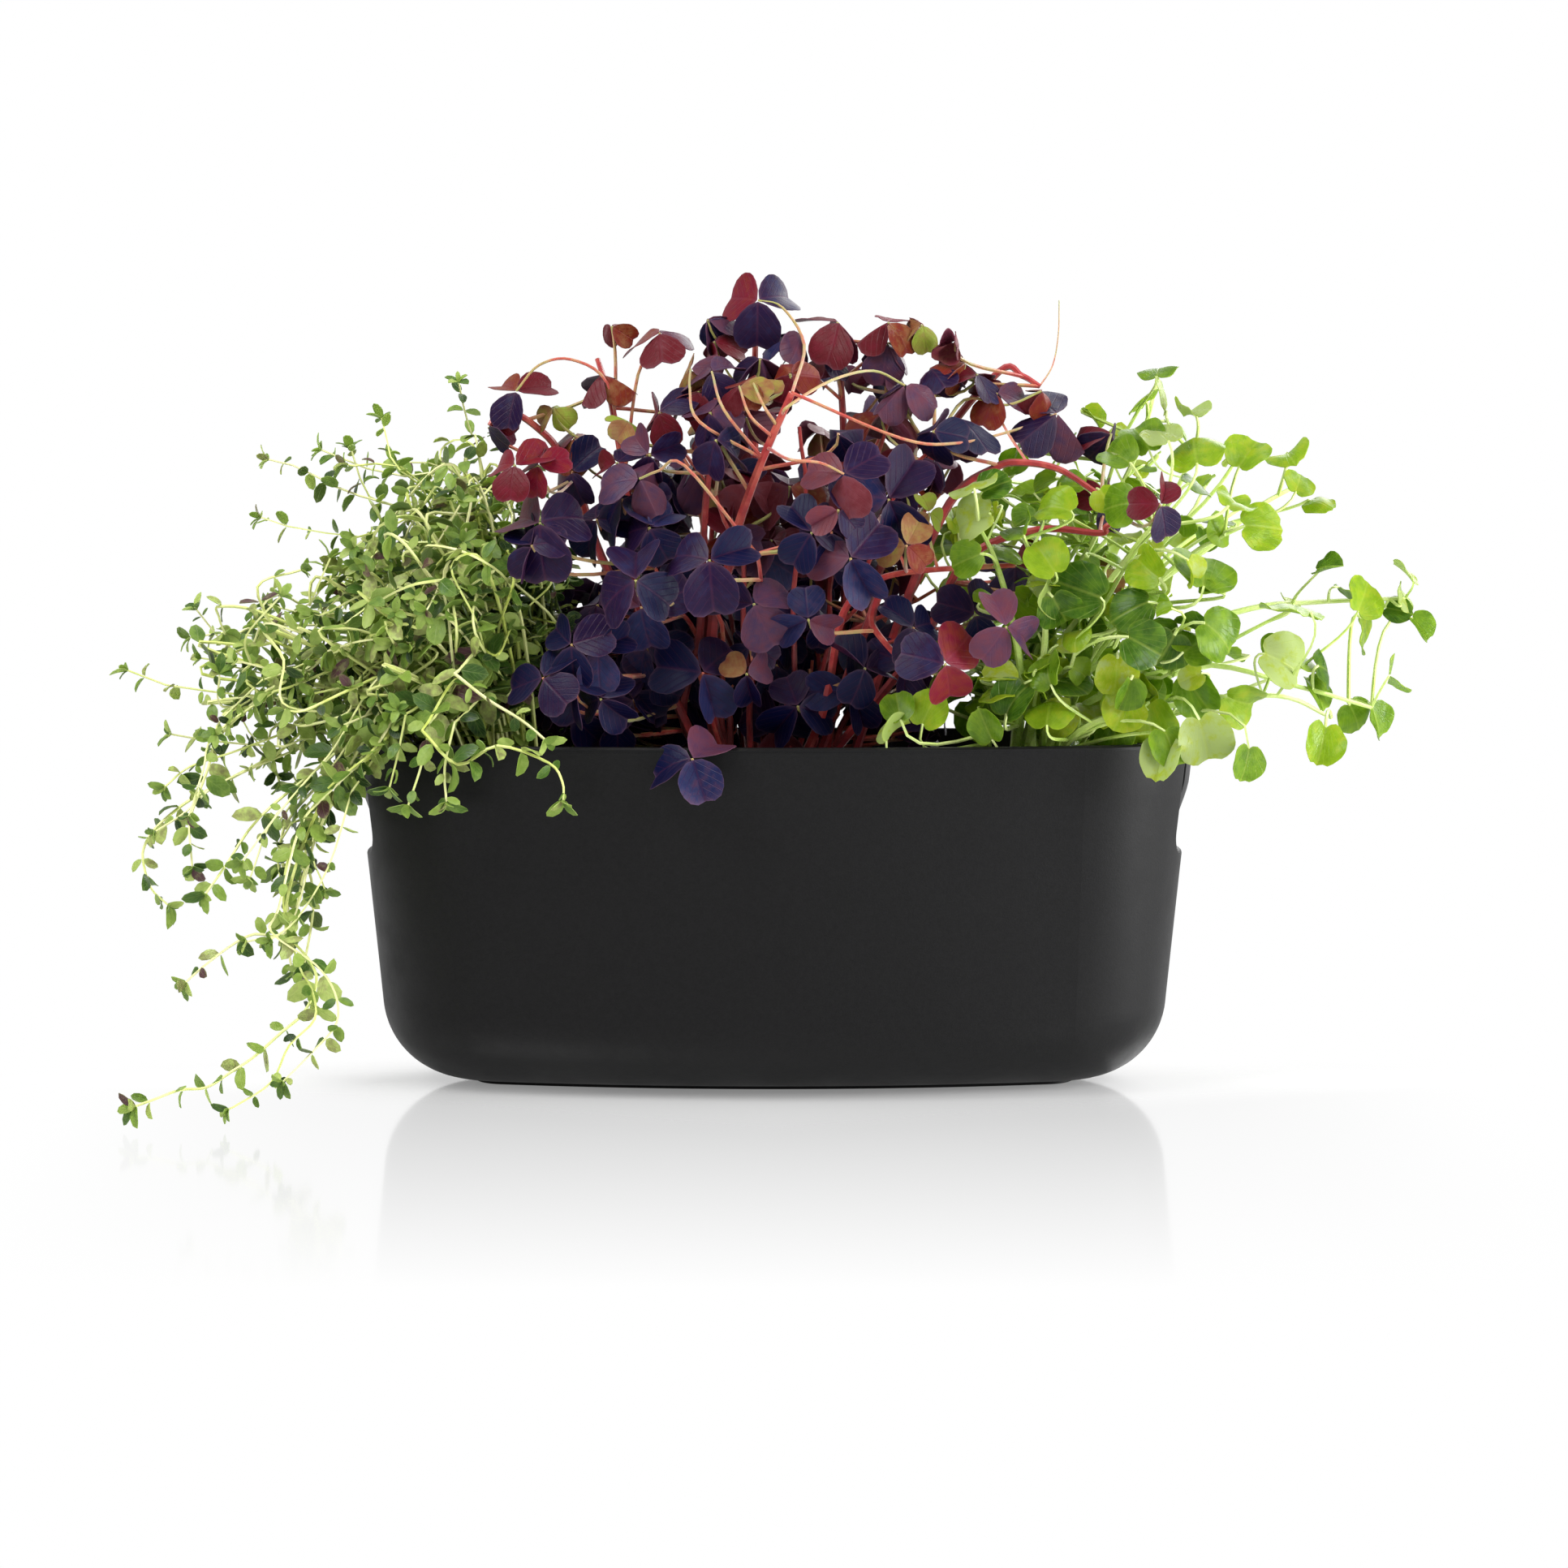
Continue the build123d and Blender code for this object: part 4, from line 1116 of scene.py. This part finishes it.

# %% [markdown]
# The cress. Its leaves are round to kidney-shaped with a scalloped edge, 8 to 24 mm across, on thin
# pale stalks, and the sun shines right through them. Long shoots lean out over the right end. As with
# the sorrel, the leaves in front are listed: pixel, size, the way the leaf points, its shade.
# The leaves nearest the camera have two stems of their own, so that their stalks stay short.

# %% Cress leaves seen in the photograph
CRESS_LEAVES = (
    (1472, 554, 78, 350, "b"), (1535, 562, 60, 30, "b"), (1585, 554, 58, 60, "b"),
    (1413, 701, 64, 300, "b"), (1484, 704, 78, 20, "m"), (1397, 747, 62, 250, "k"),
    (1600, 739, 80, 10, "b"), (1502, 777, 64, 120, "m"), (1334, 728, 74, 280, "k"),
    (1523, 614, 58, 40, "b"), (1552, 648, 58, 80, "b"), (1432, 534, 56, 330, "p"),
    (1380, 561, 58, 300, "m"), (1409, 539, 54, 330, "m"), (1304, 622, 54, 290, "b"),
    (1377, 621, 60, 250, "m"), (1600, 597, 46, 40, "b"), (1622, 614, 44, 80, "b"),
    (1426, 455, 46, 0, "m"), (1440, 490, 52, 340, "p"), (1470, 507, 52, 20, "p"),
    (1682, 775, 58, 140, "b"), (1680, 739, 58, 30, "b"), (1720, 751, 38, 90, "k"),
    (1750, 770, 40, 130, "m"), (1731, 737, 42, 60, "p"), (1735, 706, 42, 30, "p"),
    (1715, 834, 60, 110, "b"), (1696, 885, 48, 150, "m"), (1632, 911, 56, 190, "b"),
    (1670, 881, 50, 140, "m"), (1623, 848, 50, 180, "m"), (1635, 822, 50, 90, "k"),
    (1578, 812, 68, 110, "p"), (1538, 937, 48, 190, "m"), (1484, 907, 68, 170, "p"),
    (1432, 928, 60, 200, "p"), (1471, 852, 62, 150, "m"), (1528, 867, 62, 130, "b"),
    (1439, 800, 60, 200, "k"), (1471, 793, 58, 60, "m"), (1291, 691, 56, 330, "b"),
    (1288, 729, 60, 200, "p"), (1305, 751, 56, 160, "k"), (1378, 828, 58, 180, "y"),
    (1405, 792, 56, 120, "k"), (1414, 889, 72, 170, "b"), (1443, 913, 54, 160, "m"),
    (1373, 899, 54, 200, "m"),
)
CRESS_NEAR = (
    (1196, 590, 62, 320, "p"), (1200, 636, 60, 250, "p"), (1223, 600, 44, 60, "k"),
    (1258, 651, 56, 300, "m"), (1194, 688, 50, 240, "m"), (1143, 877, 52, 20, "b"),
    (1107, 874, 46, 340, "m"), (1095, 899, 46, 330, "p"), (1216, 898, 50, 350, "m"),
    (1245, 865, 54, 30, "k"), (1291, 876, 56, 10, "b"), (1288, 828, 56, 330, "m"),
)
CRESS_STEMS = (
    (((1300, 860), (1420, 790), (1540, 750), (1620, 742), (1731, 737)), (-30, -10)),
    (((1320, 880), (1470, 820), (1600, 846), (1690, 872)), (-40, -26)),
    (((1330, 900), (1450, 868), (1573, 857), (1640, 884)), (-52, -40)),
    (((1290, 860), (1400, 740), (1495, 670), (1550, 625), (1600, 597)), (-16, 0)),
    (((1280, 840), (1380, 700), (1440, 620), (1470, 560)), (-30, -22)),
    (((1270, 830), (1350, 660), (1400, 560), (1426, 470)), (0, 6)),
)
CRESS_NEAR_STEMS = (
    (((1258, 850), (1246, 760), (1226, 690), (1206, 648)), (-44, -62)),
    (((1280, 850), (1288, 770), (1276, 700), (1262, 664)), (-44, -62)),
)
print("cress leaves listed:", len(CRESS_LEAVES) + len(CRESS_NEAR))

# %% [markdown]
# One cress leaf: a circle with a notch for the stalk and shallow scallops. The seeded leaves are small
# and turn out of the crown and up to the light.

# %% Cress leaf
SMALL_CRESS = (7.0, 15.0)


def kidney(u):
    """Lower and upper edge of a round leaf with a notch at its stalk and shallow scallops."""
    round_half = np.sqrt(np.maximum(1 - u**2, 0))
    scallop = 1 + 0.05 * np.cos(13 * u)
    return 0.5 - 0.5 * round_half + 0.15 * np.exp(-((u / 0.2) ** 2)), 0.5 + 0.5 * round_half * scallop


KIDNEY = LeafShape(15, 8, kidney)
SMALL_KIDNEY = LeafShape(9, 5, kidney)


def cress_leaf(stems, rng, shape, middle, face, size, roll, tint):
    """One round leaf about its middle, on a stalk that meets the notch."""
    face, upright, right = leaf_plane(face)
    tip = turned(upright, right, math.radians(roll + rng.uniform(-12, 12)))
    base = middle - tip * size * 0.45
    add_leaf(stems.growth, shape, base, tip, face, size, size * rng.uniform(0.94, 1.2), tint, rng.random(),
             fold=rng.uniform(-0.2, 0.6), curl=rng.uniform(0.2, 1.3), wave=rng.uniform(0.02, 0.07),
             thick=0.35)
    notch = base + tip * size * 0.14
    stems.stalk(notch, tip + UP * 0.3, rng.uniform(1.0, 1.5), rng.uniform(0.3, 0.7), rng.random())


def seeded_cress_leaf(stems, rng, crown, middle, sizes):
    """A small leaf at a place, turned out of the crown and up to the light."""
    face = crown.outward(middle) * 0.6 + UP * 0.6 + TOWARDS_CAMERA * 0.2 + rng.normal(size=3) * 0.45
    cress_leaf(stems, rng, SMALL_KIDNEY, middle, face, rng.uniform(*sizes), rng.uniform(0, 360),
               rng.uniform(0.22, 0.95))


print("points of a cress leaf:", 2 * len(KIDNEY.u), "or", 2 * len(SMALL_KIDNEY.u))

# %% [markdown]
# Growing the cress, in the same order. Only the long shoots reach far to the right, so most of the seeded
# shoots and leaves that fall on that lone side are left out.

# %% Cress plant
CRESS_SEED, CRESS_NEAR_SEED = 23, 29
CRESS_CROWN = ((1425, 715), (265, 235), 0.0, 84.0)
CRESS_SIDE = ((1265, 745), (125, 165), 6.0, 66.0)
CRESS_HEM = ((1320, 855), (205, 58), -26.0, 40.0)
CRESS_FILL = ((CRESS_CROWN, 200, SMALL_CRESS), (CRESS_SIDE, 95, (9.0, 17.0)), (CRESS_HEM, 60, (10.0, 18.0)))
CRESS_GROUPS = ((CRESS_LEAVES, None), (CRESS_NEAR, -64.0))
CRESS_SHOOTS = 48
CRESS_LONE_SIDE = 1480
LONE_SHOOT_LOSS, LONE_LEAF_LOSS = 0.6, 0.93


def on_lone_side(crown, place):
    """Whether a place is on the right, where only the long shoots reach."""
    return place[0] > spot(CRESS_LONE_SIDE, crown.pixel_middle[1], crown.depth)[0]


def cress_stems(stems, rng, crown):
    """The stems seen in the photograph, then the seeded shoots, each with a leaf at its tip."""
    for rows, draw in ((CRESS_STEMS, rng), (CRESS_NEAR_STEMS, np.random.default_rng(CRESS_NEAR_SEED))):
        for pixels, depths in rows:
            path = traced(crown, draw, pixels, depths)
            stems.add(path, 3.4, 1.5, draw.uniform(0.2, 0.6), draw.random())
    for _ in range(CRESS_SHOOTS):
        end = crown.inside(rng, 0.45, 0.9)
        if on_lone_side(crown, end) and rng.random() < LONE_SHOOT_LOSS:
            continue
        path = wander(arch(crown.root(end, rng), end), rng, 7.0)
        stems.add(path, rng.uniform(2.2, 3.2), 1.3, rng.uniform(0.1, 0.6), rng.random())
        seeded_cress_leaf(stems, rng, crown, path[-1] + UP * 3.0, SMALL_CRESS)


def seen_cress(stems, rng, crown):
    """The leaves that the photograph shows."""
    for _, middle, size, roll, letter in listed(crown, rng, CRESS_GROUPS):
        face = crown.outward(middle) * 0.4 + TOWARDS_CAMERA * 0.7 + UP * 0.3 + rng.normal(size=3) * 0.42
        cress_leaf(stems, rng, KIDNEY, middle, face, size, roll, CRESS_SHADES[letter][0])


def fill_cress(stems, rng):
    """Seeded leaves in the eggs of the filling, few of them on the lone side."""
    for egg, count, sizes in CRESS_FILL:
        crown = Crown("cress", *egg)
        for _ in range(count):
            middle = crown.inside(rng, 0.3, 1.0)
            too_low = middle[2] < crown.soil[2] + 14
            if too_low or (on_lone_side(crown, middle) and rng.random() < LONE_LEAF_LOSS):
                continue
            seeded_cress_leaf(stems, rng, crown, middle, sizes)


def grow_cress():
    growth = Growth()
    stems = Stems(growth)
    rng = np.random.default_rng(CRESS_SEED)
    crown = Crown("cress", *CRESS_CROWN)
    cress_stems(stems, rng, crown)
    seen_cress(stems, rng, crown)
    fill_cress(stems, rng)
    growth.make("cress_plant", "cress", "cress_green", "cress_sprigs", cress_finishes)


grow_cress()

# %% [markdown]
# The thyme. Wiry pale stems carry small oval leaves in opposite pairs, each pair turned a quarter round
# from the one below, and end in a tuft. A sprig is therefore a path with a pair of leaves at regular
# steps. The sprigs that hang over the left end and in front, and the tips that stand out of the mound,
# are listed from the photograph; the rest of the mound is seeded.

# %% Thyme sprigs seen in the photograph
THYME_TRAILS = (
    (((460, 930), (407, 973), (379, 1027), (356, 1098), (354, 1147), (381, 1183), (390, 1210), (375, 1247),
      (348, 1271), (313, 1302), (283, 1322), (254, 1340), (222, 1343), (189, 1355), (167, 1363)),
     (-58, -114)),
    (((330, 850), (269, 908), (257, 945), (237, 999), (233, 1019), (237, 1068)), (-40, -66)),
    (((340, 930), (269, 967), (229, 989), (193, 1019), (180, 1038), (176, 1058), (186, 1094), (207, 1115)),
     (-30, -50)),
    (((400, 940), (320, 1007), (277, 1068), (253, 1102)), (-50, -76)),
    (((420, 960), (379, 1060), (356, 1147), (314, 1151), (288, 1163), (253, 1189), (229, 1210)), (-60, -90)),
    (((440, 940), (379, 1027), (386, 1098), (384, 1137), (375, 1187)), (-30, -44)),
    (((420, 850), (334, 900), (344, 963)), (-20, -24)),
    (((430, 930), (350, 1019), (354, 1098), (352, 1147), (360, 1197)), (-10, -20)),
)
THYME_FRONT = (
    (((520, 900), (564, 942), (613, 919), (676, 940), (693, 964), (694, 986)), (-74, -84)),
    (((560, 830), (601, 862), (642, 887), (671, 911)), (-70, -78)),
    (((500, 880), (490, 930), (480, 970)), (-62, -66)),
    (((530, 890), (520, 940), (503, 992)), (-66, -70)),
    (((560, 890), (548, 945), (550, 988)), (-70, -74)),
)
THYME_TIPS = (
    (455, 515), (570, 490), (545, 540), (390, 570), (345, 610), (335, 640), (255, 740), (265, 790),
    (205, 830), (195, 860), (220, 900), (465, 585), (620, 545), (660, 600), (500, 560), (420, 560),
    (300, 690), (310, 830),
)
print("thyme sprigs listed:", len(THYME_TRAILS) + len(THYME_FRONT) + len(THYME_TIPS))

# %% [markdown]
# One sprig. The mound is darker where the sorrel shades it, so a sprig's usual tint falls off towards
# the right, except for the sprigs that hang lit in front.

# %% Thyme sprig
SHADE_STARTS, SHADE_FULL = -118.0, -78.0
LIT_TINT, SHADE_DROP, TINT_SPREAD = 0.55, 0.47, 0.31
GREEN_SHARE = 0.96
TUFT, TUFT_TURN = 5, 2.4


def oval(u):
    """Lower and upper edge of an oval that narrows to its stalk and to a blunt tip."""
    half = np.sqrt(np.maximum(1 - np.abs(u) ** 1.7, 0))
    return 0.46 - 0.46 * half, 0.46 + 0.54 * half


OVAL = LeafShape(5, 4, oval)
SMALL_OVAL = LeafShape(5, 3, oval)


def sprig(growth, rng, path, shape, thick, leaf_size, gap, bare, lit=False):
    """A stem with pairs of leaves along a path, bare at its foot, and a tuft of small leaves at its tip."""
    shade = 0.0 if lit else np.clip((path[-1][0] - SHADE_STARTS) / (SHADE_FULL - SHADE_STARTS), 0, 1)
    stem_tint = rng.uniform(0.2, 0.8) - 0.8 * shade
    add_stem(growth, path, thick, thick * 0.6, STALK_SIDES, stem_tint, rng.random())
    usual = LIT_TINT - SHADE_DROP * shade
    runs = np.linalg.norm(np.diff(path, axis=0), axis=1)
    reach = np.concatenate(([0], np.cumsum(runs)))
    place = reach[-1] * bare
    turn = rng.uniform(0, math.pi)
    while place < reach[-1]:
        node, ahead = (np.array([np.interp(at, reach, path[:, axis]) for axis in range(3)])
                       for at in (place, place + 1.0))
        run = unit(ahead - node + 1e-6) if place + 1.0 < reach[-1] else unit(path[-1] - path[-2])
        across = unit(np.cross(run, UP if abs(run[2]) < 0.85 else TOWARDS_CAMERA))
        above = np.cross(across, run)
        share = place / reach[-1]
        size = leaf_size * (1.0 - 0.45 * share**3) * rng.uniform(0.65, 1.4)
        for half in (0, math.pi):
            out = turned(across, above, turn + half + rng.uniform(-0.3, 0.3))
            tip = out + run * rng.uniform(0.2, 0.9) - UP * rng.uniform(0.0, 0.35)
            face = run * 0.5 + UP * 0.55 + TOWARDS_CAMERA * 0.15 + rng.normal(size=3) * 0.25
            width = size * rng.uniform(0.48, 0.66)
            tint = np.clip(rng.normal(usual, TINT_SPREAD), 0, 0.85) if rng.random() < GREEN_SHARE else 1.0
            add_leaf(growth, shape, node + out * thick * 0.4, tip, face, size, width, tint, rng.random(),
                     fold=rng.uniform(-0.25, 0.4), curl=rng.uniform(0.2, 1.2))
        turn += math.pi / 2
        place += gap * rng.uniform(0.6, 1.4)
    for k in range(TUFT):
        out = turned(across, above, turn + k * TUFT_TURN)
        size = leaf_size * rng.uniform(0.45, 0.9)
        face = UP * 0.4 + TOWARDS_CAMERA * 0.2 + run * 0.5 - out * 0.4
        add_leaf(growth, shape, path[-1], out * rng.uniform(0.5, 1.2) + run, face, size, size * 0.48,
                 np.clip(rng.normal(usual, 0.2), 0, 1), rng.random(), curl=0.7)


print("points of a thyme leaf:", 2 * len(OVAL.u), "or", 2 * len(SMALL_OVAL.u))

# %% [markdown]
# Paths for the sprigs. None may pass through the wall of the box, so a trail climbs over the rim before it
# hangs down, and a seeded place inside the box is lifted to about the rim.

# %% Thyme paths
OVER_RIM = 150.0
RIM_ROOM = 6.0
BOX_END, BOX_SIDE = -172.0, 75.0
RUNNER_POINTS = 4


def clear_of_box(place):
    """Lifts a place that would lie in the box's wall to above its rim."""
    if place[0] > BOX_END and abs(place[1]) < BOX_SIDE:
        place[2] = max(place[2], OVER_RIM - RIM_ROOM)
    return place


def over_rim(crown, rng, path):
    """Leads a trail out of the compost and over the rim before it hangs down."""
    root = crown.root(path[0], rng)
    crest = root + (path[0] - root) * (0.5, 0.5, 0)
    crest[2] = max(path[0][2], OVER_RIM) + rng.uniform(4, 14)
    return np.vstack((smooth_path((root, crest, path[0]), 8)[:-1], path))


def runner(crown, rng):
    """A loose shoot that leaves the compost and winds through the outer part of the crown."""
    way = unit(rng.normal(size=3) * (1, 0.8, 0.7) + TOWARDS_CAMERA * 0.5)
    swing = unit(rng.normal(size=3))
    points = []
    for _ in range(RUNNER_POINTS):
        points.append(clear_of_box(crown.middle + crown.half * way * rng.uniform(0.55, 1.08)))
        swing = unit(swing + rng.normal(size=3) * 0.5)
        way = unit(way + swing * 0.45)
    root = crown.root(points[0], rng)
    lift = root + (points[0] - root) * (0.4, 0.4, 0.6)
    lift[2] = max(lift[2], OVER_RIM)
    return smooth_path([root, lift] + points, 5)


def traced_trail(crown, rng, pixels, depths, stray=0.0):
    """A trail over the rim along photo pixels, or straying from them."""
    points = spots(pixels, depths)
    drift = np.cumsum(rng.normal(size=points.shape) * stray, axis=0)
    return over_rim(crown, rng, smooth_path(points + drift, 4))


print("trails clear the rim at", OVER_RIM, "mm")

# %% [markdown]
# Growing the thyme, in three pieces: the trails over the left end with shorter ones that stray from them,
# the bush in the pot, and the skirt in front and on the left with the listed tips.

# %% Thyme plant
THYME_SEED = 37
THYME_MOUND = ((562, 750), (150, 165), 6.0, 72.0)
THYME_SKIRT = ((425, 815), (175, 132), -6.0, 66.0)
BUSH_SPRIGS, SKIRT_SPRIGS = 66, 31
STRAY_TRAILS = 2


def fill_thyme(growth, rng, crown, count):
    """Seeded sprigs that arch out of the pot to a place in the crown, and as many loose runners."""
    for _ in range(count):
        end = clear_of_box(crown.inside(rng, 0.5, 1.05))
        path = wander(over_rim(crown, rng, np.array((end,))), rng, 12.0)
        sprig(growth, rng, path, SMALL_OVAL, thick=1.35, leaf_size=9.8, gap=11.0, bare=0.25)
    for _ in range(count):
        sprig(growth, rng, runner(crown, rng), SMALL_OVAL, thick=1.5, leaf_size=9.8, gap=18.0, bare=0.4)


def thyme_trails(growth, rng, mound):
    """The trails seen in the photograph, and shorter ones that stray from them."""
    for pixels, depths in THYME_TRAILS:
        path = traced_trail(mound, rng, pixels, depths)
        sprig(growth, rng, path, OVAL, thick=1.5, leaf_size=11.0, gap=10.0, bare=0.2)
        for _ in range(STRAY_TRAILS):
            length = max(3, int(len(pixels) * rng.uniform(0.5, 0.8)))
            path = traced_trail(mound, rng, pixels[:length], depths, stray=3.5)
            sprig(growth, rng, path, OVAL, thick=1.2, leaf_size=8.5, gap=11.0, bare=0.3)


def thyme_skirt(growth, rng, mound):
    """The lit sprigs in front, the tips that stand out, and seeded sprigs on the left."""
    for pixels, depths in THYME_FRONT:
        path = traced_trail(mound, rng, pixels, depths)
        sprig(growth, rng, path, OVAL, thick=1.6, leaf_size=11.0, gap=9.0, bare=0.3, lit=True)
    for px, py in THYME_TIPS:
        end = spot(px, py, mound.front(px, py, rng.uniform(-0.3, 0.6)))
        path = wander(arch(mound.root(end, rng), end, rng.uniform(0.6, 0.95)), rng, 16.0)
        sprig(growth, rng, path, OVAL, thick=1.2, leaf_size=9.5, gap=10.0, bare=0.3)
    fill_thyme(growth, rng, Crown("thyme", *THYME_SKIRT), SKIRT_SPRIGS)


def grow_thyme():
    rng = np.random.default_rng(THYME_SEED)
    mound = Crown("thyme", *THYME_MOUND)
    trails, bush, skirt = Growth(), Growth(), Growth()
    thyme_trails(trails, rng, mound)
    trails.make("thyme_trails", "thyme", "thyme_green", "thyme_trailing_sprigs", thyme_finishes)
    fill_thyme(bush, rng, mound, BUSH_SPRIGS)
    bush.make("thyme_bush", "thyme", "thyme_green", "thyme_sprigs", thyme_finishes)
    thyme_skirt(skirt, rng, mound)
    skirt.make("thyme_skirt", "thyme", "thyme_green", "thyme_sprigs", thyme_finishes)


grow_thyme()

# %% [markdown]
# The render uses the plain Standard view transform. The herbs may stand a little proud of the
# CAD's box, the planter itself may not.

# %% View transform
scene.view_settings.view_transform = "Standard"
